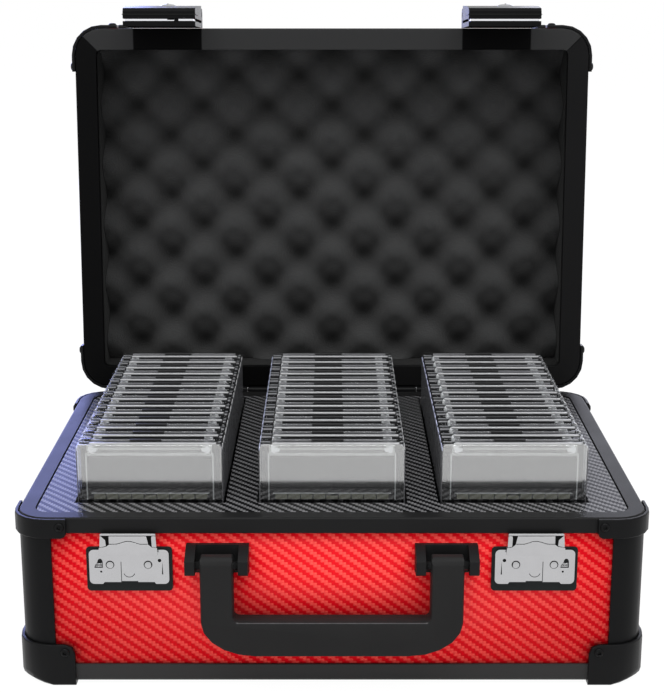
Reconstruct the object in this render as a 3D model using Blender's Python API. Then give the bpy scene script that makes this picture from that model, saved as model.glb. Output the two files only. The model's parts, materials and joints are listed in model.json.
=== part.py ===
"""Latched storage case for graded cards: two framed shell halves on a rear hinge, three rows of
clear holders in a foam insert, two hasp latches with key locks, and a swinging carrying handle.

Metres, +Z up. The case stands on its four lower corner caps at z = 0 with its lid open, its front
faces -Y, and the origin is under the middle of the open case's box.
"""

import math

import bmesh
import bpy
from mathutils import Vector

# Shell
WIDTH = 0.350
DEPTH = 0.248
BASE_HEIGHT = 0.100
LID_HEIGHT = 0.068
CORNER_RADIUS = 0.018
PARTING_GAP = 0.0004
OPEN_ANGLE = math.radians(94.15)

# Clearances and small radii
FIT = 0.0003
OVERRUN = 0.002
SHARP_RADIUS = 0.0006

# Extrusions that frame each half
FLANGE = 0.0015
EDGE_FACE = 0.010
EDGE_CHAMFER = 0.0012
EDGE_LEDGE = 0.012
RIM_FACE = 0.009
RIM_SEAT = 0.006
RIM_CHAMFER = 0.0008
BASE_RIM_WIDTH = 0.0095
LID_RIM_WIDTH = 0.0143
POST_WIDTH = 0.020
POST_LAP = 0.003

# Panels
PANEL_THICKNESS = 0.004

# Corner caps
CAP_WALL = 0.002
CAP_EDGE = 0.0005
RIM_CAP_REACH = 0.029
RIM_CAP_HEIGHT = 0.0116
RIM_CAP_ROUND = 0.003
FOOT_CAP_REACH = 0.031
FOOT_CAP_HEIGHT = 0.025
FOOT_CAP_ROUND = 0.0055
FOOT_END_FILLET = 0.002
FOOT_CORNER_FILLET = 0.007
FOOT_INNER_FILLET = 0.0022
FOOT_BAND = 0.015

# Foam insert, deck and the wells in both
DECK_DROP = 0.0005
WELL_FLOOR = 0.0058
WELL_GAP = 0.0012
WELL_WALL = 0.0177
WELL_FRONT_MARGIN = 0.0254
WELL_BACK_MARGIN = 0.016
WELL_SIDE_MARGIN = 0.024

# Rows of holders
HOLDER_WIDTH = 0.0825
HOLDER_THICKNESS = 0.0104
HOLDER_PITCH = 0.0145
HOLDER_HEADROOM = 0.0012
HOLDER_GROOVE = 0.0026
HOLDER_GROOVE_DEPTH = 0.0020
HOLDER_CHAMFER = 0.0010
ROW_FOOT = 0.004

# Lid lining
LINER_WALL = 0.005
LINING_CORNER = 0.002
FOAM_PITCH_X = 0.0464
FOAM_PITCH_Y = 0.0424
FOAM_ROW_PLACE = 0.0134
FOAM_BACKING = 0.0052
FOAM_WAVE = 0.0096

# Rear hinges
HINGE_OUT = 0.0026
HINGE_CAP_GAP = 0.0015
HINGE_SPLIT = 0.006
HINGE_KNUCKLE = 0.0023
HINGE_PIN = 0.00105
HINGE_LEAF = 0.001
HINGE_LEAF_HEIGHT = 0.016

# Catches on the base front
CATCH_CAP_GAP = 0.00825
CATCH_HANDLE_GAP = 0.00795
BACKPLATE_WIDTH = 0.0475
BACKPLATE_HEIGHT = 0.026
BACKPLATE_DROP = 0.0171
BACKPLATE_THICKNESS = 0.0012
BACKPLATE_ROUND = 0.002
CATCH_WIDTH = 0.0441
CATCH_HEIGHT = 0.0202
CATCH_DROP = 0.0182
CATCH_THICKNESS = 0.0011
CATCH_ROUND = 0.0025
CATCH_RECESS_WIDTH = 0.028
CATCH_RECESS = 0.0011
HOOK_WIDTH = 0.0316
HOOK_PROUD = 0.0033
HOOK_LIP = 0.0009
HOOK_LIP_LENGTH = 0.0062
HOOK_ROOT = 0.004

# Latches on the lid front
LATCH_WIDTH = 0.047
LATCH_LENGTH = 0.0475
HASP_OUT = 0.0015
HASP_THICKNESS = 0.0019
HASP_EDGE = 0.0011
HASP_EDGE_OUT = 0.0001
HASP_BAR = 0.0052
HASP_WINDOW_GAP = 0.0014
HASP_WINDOW_LENGTH = 0.0290
HASP_POST = 0.0016
HASP_POST_DROP = 0.0280
COVER_OUT = 0.005
COVER_END_HEIGHT = 0.0058
COVER_END_ROUND = 0.002
COVER_MID_HEIGHT = 0.0094
COVER_TOP_HEIGHT = 0.0099
COVER_TONGUE_WIDTH = 0.036
LATCH_PIN_RISE = 0.0046
LATCH_PIN_OUT = 0.009
LATCH_PIN_RADIUS = 0.0015
LATCH_EAR_RADIUS = 0.0042
BRACKET_PLATE = 0.0015
LOCK_DROP = 0.019
LOCK_RADIUS = 0.0053
LOCK_PROUD = 0.0010
LOCK_CHAMFER = 0.0006
KEYWAY_WIDTH = 0.0012
KEYWAY_LENGTH = 0.0056
KEYWAY_DEPTH = 0.0020
CAM_LENGTH = 0.0115
CAM_WIDTH = 0.0048
CAM_THICKNESS = 0.0009

# Handle
HANDLE_OUT = 0.010
HANDLE_THICKNESS = 0.0126
HANDLE_ARM = 0.018
HANDLE_GRIP = 0.021
HANDLE_BOTTOM_DROP = 0.0757
HANDLE_PIVOT_DROP = 0.0239
HANDLE_ROUND_ACROSS = 0.030
HANDLE_ROUND_UP = 0.020
HANDLE_INNER_ROUND = 0.003
HANDLE_EDGE = 0.0022
HANDLE_PIN_RADIUS = 0.0024
MOUNTING_WIDTH = 0.0346
MOUNTING_EAR = 0.0055
MOUNTING_PROUD = 0.0143
MOUNTING_EAR_DROP = 0.0151
MOUNTING_EAR_HEIGHT = 0.0138
MOUNTING_SLOPE_OUT = 0.0115
MOUNTING_SLOPE_UP = 0.005
MOUNTING_PLATE = 0.0027
MOUNTING_PLATE_HEIGHT = 0.0165
MOUNTING_ROUND = 0.0025

# Counts
CORNER_STEPS = 5
FILLET_STEPS = 3
ROUND_SIDES = 16
FOAM_COLUMNS = 40
FOAM_ROWS = 26

# Shares of a fillet's run, from a cap's end, at which its edge has a point
END_ROUND_SHARES = (0.0, 0.3, 1.0)
# Places along the latch cover, as shares of its length from the free end, with the share of the
# full crown that it has there
COVER_CROWN_SHARES = ((0.30, 0.62), (0.62, 0.90))
# Knuckles of the two leaves along a hinge, as shares of its length from one end
BASE_KNUCKLE_SHARES = ((0.0, 0.2), (0.4, 0.6), (0.8, 1.0))
LID_KNUCKLE_SHARES = ((0.2, 0.4), (0.6, 0.8))

# Planes worked out from the sizes above
FRONT = -DEPTH / 2
BACK = DEPTH / 2
CAP_PROUD = CAP_WALL + FIT
EDGE_BOTTOM = CAP_WALL + FIT
PANEL_INSET = FLANGE + FIT
CORE_INSET = PANEL_INSET + PANEL_THICKNESS + FIT
END_PANEL_BOTTOM = EDGE_BOTTOM + FLANGE + FIT
LEDGE_TOP = END_PANEL_BOTTOM + PANEL_THICKNESS
INNER_FLOOR = LEDGE_TOP + FIT
LID_BOTTOM = BASE_HEIGHT + PARTING_GAP
LID_TOP = LID_BOTTOM + LID_HEIGHT
HINGE_Z = BASE_HEIGHT + PARTING_GAP / 2
HASP_TOP = HASP_OUT + HASP_THICKNESS
CAM_OUT = HASP_TOP + FIT
PARTING_Z = LID_BOTTOM
HANDLE_PIVOT_Z = BASE_HEIGHT - HANDLE_PIVOT_DROP

# The lid's clear depth over the foam sets how far the holders stand out of the base
FOAM_PEAK_Z = LID_TOP - INNER_FLOOR - FOAM_BACKING - 2 * FOAM_WAVE
HOLDER_BOTTOM = INNER_FLOOR + WELL_FLOOR + FIT
HOLDER_TOP = FOAM_PEAK_Z - HOLDER_HEADROOM

# As many rows, and as many holders in each, as the case has room for
WELL_WIDTH = HOLDER_WIDTH + 2 * WELL_GAP
WELL_LENGTH = DEPTH - WELL_FRONT_MARGIN - WELL_BACK_MARGIN
ROW_SPACING = WELL_WIDTH + WELL_WALL
ROW_COUNT = int((WIDTH - 2 * WELL_SIDE_MARGIN + WELL_WALL) / ROW_SPACING)
HOLDERS_PER_ROW = int((WELL_LENGTH - WELL_GAP + HOLDER_PITCH - HOLDER_THICKNESS) / HOLDER_PITCH)
ROW_LENGTH = HOLDER_PITCH * (HOLDERS_PER_ROW - 1) + HOLDER_THICKNESS
ROW_START = FRONT + WELL_FRONT_MARGIN + WELL_GAP

# Across the back, a hinge from each rim cap to the split in the middle
HINGE_LENGTH = WIDTH / 2 - RIM_CAP_REACH - HINGE_CAP_GAP - HINGE_SPLIT / 2
HINGE_X = HINGE_SPLIT / 2 + HINGE_LENGTH / 2

# Across the front, from the side inwards: foot cap, catch, handle mounting
LATCH_X = WIDTH / 2 - FOOT_CAP_REACH - CATCH_CAP_GAP - BACKPLATE_WIDTH / 2
HANDLE_ARM_X = LATCH_X - BACKPLATE_WIDTH / 2 - CATCH_HANDLE_GAP - MOUNTING_WIDTH / 2

# The open case's box reaches from the handle to the lid's farthest edge
FRONT_REACH = HANDLE_OUT + HANDLE_THICKNESS / 2
BACK_REACH = (
    HINGE_OUT
    + (LID_HEIGHT + CAP_PROUD) * math.sin(OPEN_ANGLE)
    - (DEPTH + HINGE_OUT) * math.cos(OPEN_ANGLE)
)
CASE_SHIFT = (FRONT_REACH - BACK_REACH) / 2

MATERIALS = {
    "black_metal": ((0.020, 0.020, 0.021), 0.42, 0.6),
    "black_plastic": ((0.022, 0.022, 0.023), 0.5, 0.0),
    "red_twill": ((0.62, 0.012, 0.016), 0.4, 0.0),
    "deck_twill": ((0.09, 0.09, 0.095), 0.45, 0.0),
    "foam": ((0.035, 0.035, 0.037), 0.95, 0.0),
    "clear_plastic": ((0.72, 0.73, 0.74), 0.15, 0.0),
    "bright_plate": ((0.62, 0.62, 0.63), 0.28, 1.0),
}

places = {}


# Scene and mesh helpers
def clear_scene():
    for obj in list(bpy.data.objects):
        bpy.data.objects.remove(obj, do_unlink=True)


def material(name):
    found = bpy.data.materials.get(name)
    if found:
        return found
    colour, roughness, metallic = MATERIALS[name]
    made = bpy.data.materials.new(name)
    made.use_nodes = True
    shader = made.node_tree.nodes["Principled BSDF"]
    shader.inputs["Base Color"].default_value = (*colour, 1.0)
    shader.inputs["Roughness"].default_value = roughness
    shader.inputs["Metallic"].default_value = metallic
    return made


def add_pivot(name, place, parent=None, turn=0.0):
    """An empty on a joint's axis; place is in the closed case's coordinates."""
    empty = bpy.data.objects.new(name, None)
    bpy.context.scene.collection.objects.link(empty)
    places[name] = Vector(place)
    if parent:
        empty.parent = bpy.data.objects[parent]
        empty.location = places[name] - places[parent]
    empty.rotation_euler.x = turn
    return name


def add_piece(name, shape, finish, parent, origin=(0.0, 0.0, 0.0), smooth=False):
    """One sub-part from (points, faces) in the closed case's coordinates."""
    points, faces = shape
    start = Vector(origin)
    mesh = bpy.data.meshes.new(name)
    mesh.from_pydata([Vector(p) - start for p in points], [], faces)
    form = bmesh.new()
    form.from_mesh(mesh)
    bmesh.ops.recalc_face_normals(form, faces=form.faces)
    form.to_mesh(mesh)
    form.free()
    if finish:
        mesh.materials.append(material(finish))
    if smooth:
        mesh.shade_smooth()
        mesh.set_sharp_from_angle(angle=math.radians(35))
    obj = bpy.data.objects.new(name, mesh)
    bpy.context.scene.collection.objects.link(obj)
    obj.parent = bpy.data.objects[parent]
    obj.location = start - places[parent]
    return obj


def combine(obj, shape, operation):
    """Joins a shape to an object, or cuts it out, with a Boolean on a hidden helper."""
    helper = add_piece(
        f"{obj.name}_{operation.lower()}_{len(obj.modifiers)}",
        shape,
        None,
        obj.parent.name,
        obj.location + places[obj.parent.name],
    )
    helper.hide_render = True
    helper.display_type = "WIRE"
    modifier = obj.modifiers.new(operation.lower(), "BOOLEAN")
    modifier.operation = operation
    modifier.solver = "EXACT"
    modifier.object = helper


# Shapes, each a pair of points and faces
def loft(loops, closed):
    """Faces between loops of equal length: a closed run of loops, or one with both ends filled."""
    count = len(loops[0])
    points = [p for loop in loops for p in loop]
    faces = []
    for i in range(len(loops) if closed else len(loops) - 1):
        first = i * count
        second = (i + 1) % len(loops) * count
        for k in range(count):
            after = (k + 1) % count
            faces.append((first + k, first + after, second + after, second + k))
    if not closed:
        faces.append(tuple(range(count)))
        faces.append(tuple(range(len(points) - count, len(points))))
    return points, faces


def prism(outline, axis, low, high):
    """An outline of (u, v) pairs extruded along X, Y or Z; u and v are the other two axes."""
    order = {"X": (2, 0, 1), "Y": (0, 2, 1), "Z": (0, 1, 2)}[axis]
    ends = [[(u, v, w) for u, v in outline] for w in (low, high)]
    loops = [[tuple(p[k] for k in order) for p in end] for end in ends]
    return loft(loops, False)


def block(x, y, z):
    """A box from three (low, high) pairs."""
    return prism([(x[0], y[0]), (x[1], y[0]), (x[1], y[1]), (x[0], y[1])], "Z", *z)


def arc(centre, radii, start, end, steps):
    """Points on an ellipse's arc, angles in degrees."""
    angles = [math.radians(start + (end - start) * k / steps) for k in range(steps + 1)]
    return [(centre[0] + radii[0] * math.cos(a), centre[1] + radii[1] * math.sin(a)) for a in angles]


def disc(centre, radius, sides=ROUND_SIDES):
    return arc(centre, (radius, radius), 0, 360 * (sides - 1) / sides, sides - 1)


def rounded_rectangle(u, v, radius, steps=CORNER_STEPS):
    """A rectangle from two (low, high) pairs with round corners."""
    corners = (
        (u[1] - radius, v[1] - radius, 0),
        (u[0] + radius, v[1] - radius, 90),
        (u[0] + radius, v[0] + radius, 180),
        (u[1] - radius, v[0] + radius, 270),
    )
    points = []
    for cu, cv, start in corners:
        points += arc((cu, cv), (radius, radius), start, start + 90, steps)
    return points


def plan_outline(inset, corner_radius=CORNER_RADIUS):
    """The shell's outline drawn in by inset, its corners by as much."""
    radius = max(corner_radius - inset, SHARP_RADIUS)
    half_width = WIDTH / 2 - inset
    half_depth = DEPTH / 2 - inset
    return rounded_rectangle((-half_width, half_width), (-half_depth, half_depth), radius)


def out(distance):
    """The y of a plane that lies a distance outside the front face."""
    return FRONT - distance


# The shell: both halves are built alike, h runs from a half's outer face to its mating face
class Half:
    def __init__(self, name, height, rim_width, parent, start, direction):
        self.name = name
        self.height = height
        self.rim_width = rim_width
        self.parent = parent
        self.start = start
        self.direction = direction

    def z(self, h):
        return self.start + self.direction * h

    def ring(self, profile, corner_radius=CORNER_RADIUS):
        """A profile of (inset, h) pairs swept round the plan."""
        loops = []
        for inset, h in profile:
            loops.append([(x, y, self.z(h)) for x, y in plan_outline(inset, corner_radius)])
        return loft(loops, True)

    def slab(self, inset, low, high):
        outline = plan_outline(inset)
        return prism(outline, "Z", *sorted((self.z(low), self.z(high))))

    def add(self, name, shape, finish, **options):
        return add_piece(f"{self.name}_{name}", shape, finish, self.parent, **options)


def add_frame(half):
    """Outer edge extrusions with the four upright corner posts joined on."""
    face_top = EDGE_BOTTOM + EDGE_FACE
    profile = [
        (EDGE_CHAMFER, EDGE_BOTTOM),
        (0.0, EDGE_BOTTOM + EDGE_CHAMFER),
        (0.0, face_top),
        (FLANGE, face_top),
        (FLANGE, LEDGE_TOP),
        (CORE_INSET, LEDGE_TOP),
        (CORE_INSET, EDGE_BOTTOM + FLANGE),
        (EDGE_LEDGE, EDGE_BOTTOM + FLANGE),
        (EDGE_LEDGE, EDGE_BOTTOM),
    ]
    frame = half.add("frame", half.ring(profile), "black_metal")
    lap = POST_WIDTH - POST_LAP
    for side_x in (-1, 1):
        for side_y in (-1, 1):
            corner = [(POST_WIDTH, 0.0)]
            corner += arc((CORNER_RADIUS,) * 2, (CORNER_RADIUS,) * 2, 270, 180, CORNER_STEPS)
            corner += [
                (0.0, POST_WIDTH),
                (FLANGE, POST_WIDTH),
                (FLANGE, lap),
                (CORE_INSET, lap),
                (CORE_INSET, CORE_INSET),
                (lap, CORE_INSET),
                (lap, FLANGE),
                (POST_WIDTH, FLANGE),
            ]
            outline = [
                (side_x * (WIDTH / 2 - across), side_y * (DEPTH / 2 - along))
                for across, along in corner
            ]
            low = half.z(LEDGE_TOP - OVERRUN)
            high = half.z(half.height - RIM_FACE - FIT)
            combine(frame, prism(outline, "Z", *sorted((low, high))), "UNION")


def add_rim(half):
    """Mating extrusion: a flat face with a flange that laps over the side panels."""
    top = half.height
    seat = top - RIM_SEAT
    profile = [
        (0.0, top - RIM_FACE),
        (0.0, top - RIM_CHAMFER),
        (RIM_CHAMFER, top),
        (half.rim_width, top),
        (half.rim_width, seat),
        (FLANGE, seat),
        (FLANGE, top - RIM_FACE),
    ]
    half.add("rim", half.ring(profile), "black_metal")


def add_panels(half):
    low, high = sorted((half.z(INNER_FLOOR), half.z(half.height - RIM_SEAT - FIT)))
    outer_x = WIDTH / 2 - PANEL_INSET
    outer_y = DEPTH / 2 - PANEL_INSET
    end = POST_WIDTH - POST_LAP + FIT
    for name, side in (("front", -1), ("back", 1)):
        y = sorted((side * outer_y, side * (outer_y - PANEL_THICKNESS)))
        shape = block((end - WIDTH / 2, WIDTH / 2 - end), y, (low, high))
        half.add(f"{name}_panel", shape, "red_twill")
    for name, side in (("left", -1), ("right", 1)):
        x = sorted((side * outer_x, side * (outer_x - PANEL_THICKNESS)))
        shape = block(x, (end - DEPTH / 2, DEPTH / 2 - end), (low, high))
        half.add(f"{name}_panel", shape, "red_twill")
    end_name = "bottom_panel" if half.direction > 0 else "top_panel"
    shape = half.slab(CORE_INSET + FIT, END_PANEL_BOTTOM, LEDGE_TOP)
    half.add(end_name, shape, "red_twill")


def cap_stations(reach, end_round):
    """Places round a corner: a function of inset that gives the plan place, the distance to the
    nearer end, and the share of the corner's middle."""
    radius = CORNER_RADIUS
    runs = [reach - share * end_round for share in END_ROUND_SHARES]
    stations = []
    for run in runs:
        stations.append((lambda inset, run=run: (run, inset), reach - run, 0.0))
    for k in range(CORNER_STEPS + 1):
        angle = math.pi / 2 * k / CORNER_STEPS

        def place(inset, angle=angle):
            reach_out = radius - inset
            return radius - reach_out * math.sin(angle), radius - reach_out * math.cos(angle)

        stations.append((place, reach - radius, math.sin(2 * angle)))
    for run in reversed(runs):
        stations.append((lambda inset, run=run: (inset, run), reach - run, 0.0))
    return stations


def end_drop(distance, radius):
    """How far a rounded end falls short of the full height at a distance from that end."""
    short = max(radius - distance, 0.0)
    return radius - math.sqrt(radius * radius - short * short)


def rim_cap_profile(half, end, share):
    top = half.height - FIT
    low = half.height - RIM_CAP_HEIGHT + end_drop(end, RIM_CAP_ROUND)
    return [
        (CAP_EDGE - CAP_PROUD, low),
        (-CAP_PROUD, low + CAP_EDGE),
        (-CAP_PROUD, top - CAP_EDGE),
        (CAP_EDGE - CAP_PROUD, top),
        (-FIT, top),
        (-FIT, low),
    ]


def foot_cap_profile(half, end, share):
    """From the cap's top edge down its outside, under the foot and up the inside."""
    top = FOOT_CAP_HEIGHT - end_drop(end, FOOT_CAP_ROUND)
    fillet = FOOT_END_FILLET + (FOOT_CORNER_FILLET - FOOT_END_FILLET) * share
    inner = FOOT_INNER_FILLET
    points = [(CAP_EDGE - CAP_PROUD, top), (-CAP_PROUD, top - CAP_EDGE)]
    points += arc((fillet - CAP_PROUD, fillet), (fillet, fillet), 180, 270, FILLET_STEPS)
    points += [(FOOT_BAND, 0.0), (FOOT_BAND, CAP_WALL)]
    points += arc((inner - FIT, CAP_WALL + inner), (inner, inner), 270, 180, FILLET_STEPS - 1)
    points.append((-FIT, top))
    return points


def add_caps(half):
    names = {(-1, -1): "front_left", (1, -1): "front_right", (-1, 1): "back_left", (1, 1): "back_right"}
    outer_name = "foot_cap" if half.direction > 0 else "top_cap"
    kinds = (
        ("rim_cap", RIM_CAP_REACH, RIM_CAP_ROUND, rim_cap_profile),
        (outer_name, FOOT_CAP_REACH, FOOT_CAP_ROUND, foot_cap_profile),
    )
    for kind, reach, end_round, profile in kinds:
        for (side_x, side_y), name in names.items():
            loops = []
            for place, end, share in cap_stations(reach, end_round):
                loop = []
                for inset, h in profile(half, end, share):
                    across, along = place(inset)
                    x = side_x * (WIDTH / 2 - across)
                    y = side_y * (DEPTH / 2 - along)
                    loop.append((x, y, half.z(h)))
                loops.append(loop)
            half.add(f"{kind}_{name}", loft(loops, False), "black_plastic", smooth=True)


# Inside the base
def row_centres():
    return [(k - (ROW_COUNT - 1) / 2) * ROW_SPACING for k in range(ROW_COUNT)]


def well_span(centre):
    front = FRONT + WELL_FRONT_MARGIN
    return (centre - WELL_WIDTH / 2, centre + WELL_WIDTH / 2), (front, front + WELL_LENGTH)


def add_insert():
    """Foam block and the deck board on it, each with the three wells."""
    deck_bottom = BASE_HEIGHT - RIM_SEAT - FIT
    foam_top = deck_bottom - FIT
    foam_inset = CORE_INSET + FIT
    outline = plan_outline(foam_inset, foam_inset + LINING_CORNER)
    foam = add_piece("foam_insert", prism(outline, "Z", INNER_FLOOR, foam_top), "foam", "case")
    deck_outline = plan_outline(BASE_RIM_WIDTH + FIT)
    deck_shape = prism(deck_outline, "Z", deck_bottom, BASE_HEIGHT - DECK_DROP)
    deck = add_piece("deck_board", deck_shape, "deck_twill", "case")
    for centre in row_centres():
        across, along = well_span(centre)
        well = block(across, along, (INNER_FLOOR + WELL_FLOOR, foam_top + OVERRUN))
        combine(foam, well, "DIFFERENCE")
        opening = block(across, along, (deck_bottom - OVERRUN, BASE_HEIGHT + OVERRUN))
        combine(deck, opening, "DIFFERENCE")


def row_outline():
    """Side view of a row: holders with a groove along their top, on one strip at the foot."""
    foot_top = HOLDER_BOTTOM + ROW_FOOT
    side = (HOLDER_THICKNESS - HOLDER_GROOVE) / 2
    points = [(ROW_START + ROW_LENGTH, HOLDER_BOTTOM), (ROW_START, HOLDER_BOTTOM)]
    for k in range(HOLDERS_PER_ROW):
        near = ROW_START + k * HOLDER_PITCH
        far = near + HOLDER_THICKNESS
        if k:
            points.append((near, foot_top))
        points += [
            (near, HOLDER_TOP - HOLDER_CHAMFER),
            (near + HOLDER_CHAMFER, HOLDER_TOP),
            (near + side, HOLDER_TOP),
            (near + side, HOLDER_TOP - HOLDER_GROOVE_DEPTH),
            (far - side, HOLDER_TOP - HOLDER_GROOVE_DEPTH),
            (far - side, HOLDER_TOP),
            (far - HOLDER_CHAMFER, HOLDER_TOP),
            (far, HOLDER_TOP - HOLDER_CHAMFER),
        ]
        if k < HOLDERS_PER_ROW - 1:
            points.append((far, foot_top))
    return points


def add_rows():
    for k, centre in enumerate(row_centres()):
        half_width = HOLDER_WIDTH / 2
        shape = prism(row_outline(), "X", centre - half_width, centre + half_width)
        origin = (centre, ROW_START, HOLDER_BOTTOM)
        add_piece(f"holder_row_{k + 1}", shape, "clear_plastic", "case", origin=origin)


# Inside the lid
def add_lid_lining(lid):
    seat = lid.height - RIM_SEAT - FIT
    outer = CORE_INSET + FIT
    inner = outer + LINER_WALL
    profile = [(outer, INNER_FLOOR), (outer, seat), (inner, seat), (inner, INNER_FLOOR)]
    lid.add("liner", lid.ring(profile, outer + LINING_CORNER), "foam")
    half_width = WIDTH / 2 - inner - FIT
    half_depth = DEPTH / 2 - inner - FIT
    rows = []
    for j in range(FOAM_ROWS + 1):
        y = -half_depth + 2 * half_depth * j / FOAM_ROWS
        line = []
        for i in range(FOAM_COLUMNS + 1):
            x = -half_width + 2 * half_width * i / FOAM_COLUMNS
            wave = math.cos(math.tau * x / FOAM_PITCH_X)
            wave *= math.cos(math.tau * (y - FOAM_ROW_PLACE) / FOAM_PITCH_Y)
            line.append((x, y, FOAM_PEAK_Z + FOAM_WAVE * (1 + wave)))
        rows.append(line)
    lid.add("egg_crate_foam", height_field(rows, lid.z(INNER_FLOOR)), "foam", smooth=True)


def height_field(rows, back_z):
    """A closed block between a grid of points and a flat back."""
    across = len(rows[0])
    points = [p for line in rows for p in line]
    faces = []
    for j in range(len(rows) - 1):
        for i in range(across - 1):
            a = j * across + i
            faces.append((a, a + 1, a + across + 1, a + across))
    border = list(range(across))
    border += [j * across + across - 1 for j in range(1, len(rows))]
    border += [(len(rows) - 1) * across + i for i in range(across - 2, -1, -1)]
    border += [j * across for j in range(len(rows) - 2, 0, -1)]
    start = len(points)
    points += [(points[b][0], points[b][1], back_z) for b in border]
    for k, b in enumerate(border):
        after = (k + 1) % len(border)
        faces.append((b, border[after], start + after, start + k))
    faces.append(tuple(range(start, start + len(border))))
    return points, faces


# Rear hinges
def hinge_outline(leaf_end, direction):
    """A leaf against the back face that curls round the pin; direction is the leaf's way from it."""
    near = BACK + FIT
    far = near + HINGE_LEAF
    centre = (BACK + HINGE_OUT, HINGE_Z)
    meet = math.degrees(math.acos((far - centre[0]) / HINGE_KNUCKLE))
    curl = arc(centre, (HINGE_KNUCKLE, HINGE_KNUCKLE), 180, -meet, ROUND_SIDES - 4)
    if direction > 0:
        curl = [(y, 2 * HINGE_Z - z) for y, z in curl]
    return [(near, leaf_end)] + curl + [(far, leaf_end)]


def add_hinges(lid):
    centre = (BACK + HINGE_OUT, HINGE_Z)
    clear = HINGE_KNUCKLE + FIT
    leaves = (
        ("base", "case", -1, BASE_KNUCKLE_SHARES),
        ("lid", lid.parent, 1, LID_KNUCKLE_SHARES),
    )
    for side, side_name in ((-1, "left"), (1, "right")):
        start = side * HINGE_X - HINGE_LENGTH / 2
        for half_name, parent, direction, shares in leaves:
            leaf_end = HINGE_Z + direction * HINGE_LEAF_HEIGHT
            low, high = sorted((leaf_end, HINGE_Z + direction * clear))
            plate = block(
                (start, start + HINGE_LENGTH),
                (BACK + FIT, BACK + FIT + HINGE_LEAF),
                (low, high),
            )
            name = f"hinge_{half_name}_leaf_{side_name}"
            leaf = add_piece(name, plate, "black_metal", parent)
            for first, last in shares:
                ends = [start + HINGE_LENGTH * share for share in (first, last)]
                ends[0] += FIT / 2 if first > 0 else 0.0
                ends[1] -= FIT / 2 if last < 1 else 0.0
                combine(leaf, prism(hinge_outline(leaf_end, direction), "X", *ends), "UNION")
            bore = prism(
                disc(centre, HINGE_PIN + FIT),
                "X",
                start - OVERRUN,
                start + HINGE_LENGTH + OVERRUN,
            )
            combine(leaf, bore, "DIFFERENCE")
        pin = prism(disc(centre, HINGE_PIN), "X", start, start + HINGE_LENGTH)
        add_piece(f"hinge_pin_{side_name}", pin, "bright_plate", "case", smooth=True)


# Catches
def catch_outline(centre):
    """Plate outline with round corners and a shallow recess along its lower edge."""
    top = BASE_HEIGHT - CATCH_DROP
    low = top - CATCH_HEIGHT
    plate = rounded_rectangle(
        (centre - CATCH_WIDTH / 2, centre + CATCH_WIDTH / 2), (low, top), CATCH_ROUND, FILLET_STEPS
    )
    recess = CATCH_RECESS_WIDTH / 2
    notch = [
        (centre - recess - CATCH_RECESS, low),
        (centre - recess, low + CATCH_RECESS),
        (centre + recess, low + CATCH_RECESS),
        (centre + recess + CATCH_RECESS, low),
    ]
    last_corner = 3 * (FILLET_STEPS + 1)
    return plate[:last_corner] + notch + plate[last_corner:]


def hook_outline():
    """Side view of the hook: up the plate, out over the top and down in a lip."""
    root = BASE_HEIGHT - CATCH_DROP - HOOK_ROOT
    top = BASE_HEIGHT - RIM_FACE - FIT
    inner = HOOK_PROUD - HOOK_LIP
    lip_end = top - HOOK_LIP_LENGTH
    return [
        (out(0.0), root),
        (out(0.0), top - HOOK_LIP),
        (out(HOOK_LIP), top),
        (out(inner), top),
        (out(HOOK_PROUD), top - HOOK_LIP),
        (out(HOOK_PROUD), lip_end),
        (out(inner), lip_end),
        (out(inner), top - HOOK_LIP),
        (out(CATCH_THICKNESS), top - HOOK_LIP),
        (out(CATCH_THICKNESS), root),
    ]


def add_catches():
    for side, name in ((-1, "left"), (1, "right")):
        centre = side * LATCH_X
        top = BASE_HEIGHT - BACKPLATE_DROP
        backplate = rounded_rectangle(
            (centre - BACKPLATE_WIDTH / 2, centre + BACKPLATE_WIDTH / 2),
            (top - BACKPLATE_HEIGHT, top),
            BACKPLATE_ROUND,
            FILLET_STEPS,
        )
        back = out(FIT - PANEL_INSET)
        shape = prism(backplate, "Y", back - BACKPLATE_THICKNESS, back)
        add_piece(f"catch_backplate_{name}", shape, "black_plastic", "case")
        plate = prism(catch_outline(centre), "Y", out(CATCH_THICKNESS), out(0.0))
        catch = add_piece(f"catch_plate_{name}", plate, "bright_plate", "case")
        hook = prism(hook_outline(), "X", centre - HOOK_WIDTH / 2, centre + HOOK_WIDTH / 2)
        combine(catch, hook, "UNION")


# Latches
def latch_pivot_place(side):
    return (side * LATCH_X, out(LATCH_PIN_OUT), PARTING_Z + LATCH_PIN_RISE)


def add_latch_bracket(lid, side, name):
    """Plate on the lid's rim with two ears that carry the hasp's pin."""
    centre = side * LATCH_X
    half_width = LATCH_WIDTH / 2
    low = PARTING_Z + LATCH_PIN_RISE - LATCH_EAR_RADIUS
    high = PARTING_Z + LATCH_PIN_RISE + LATCH_EAR_RADIUS
    plate = block(
        (centre - half_width, centre + half_width),
        (out(FIT + BRACKET_PLATE), out(FIT)),
        (low, high),
    )
    bracket = add_piece(f"latch_bracket_{name}", plate, "black_metal", lid.parent)
    pin = (out(LATCH_PIN_OUT), PARTING_Z + LATCH_PIN_RISE)
    outline = [(out(FIT), high), (out(FIT), low)]
    outline += arc(pin, (LATCH_EAR_RADIUS,) * 2, 270, 90, ROUND_SIDES // 2)
    inner = COVER_TONGUE_WIDTH / 2 + FIT
    for ends in ((centre - half_width, centre - inner), (centre + inner, centre + half_width)):
        combine(bracket, prism(outline, "X", *ends), "UNION")
    bore = prism(
        disc(pin, LATCH_PIN_RADIUS + FIT),
        "X",
        centre - half_width - OVERRUN,
        centre + half_width + OVERRUN,
    )
    combine(bracket, bore, "DIFFERENCE")


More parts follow.
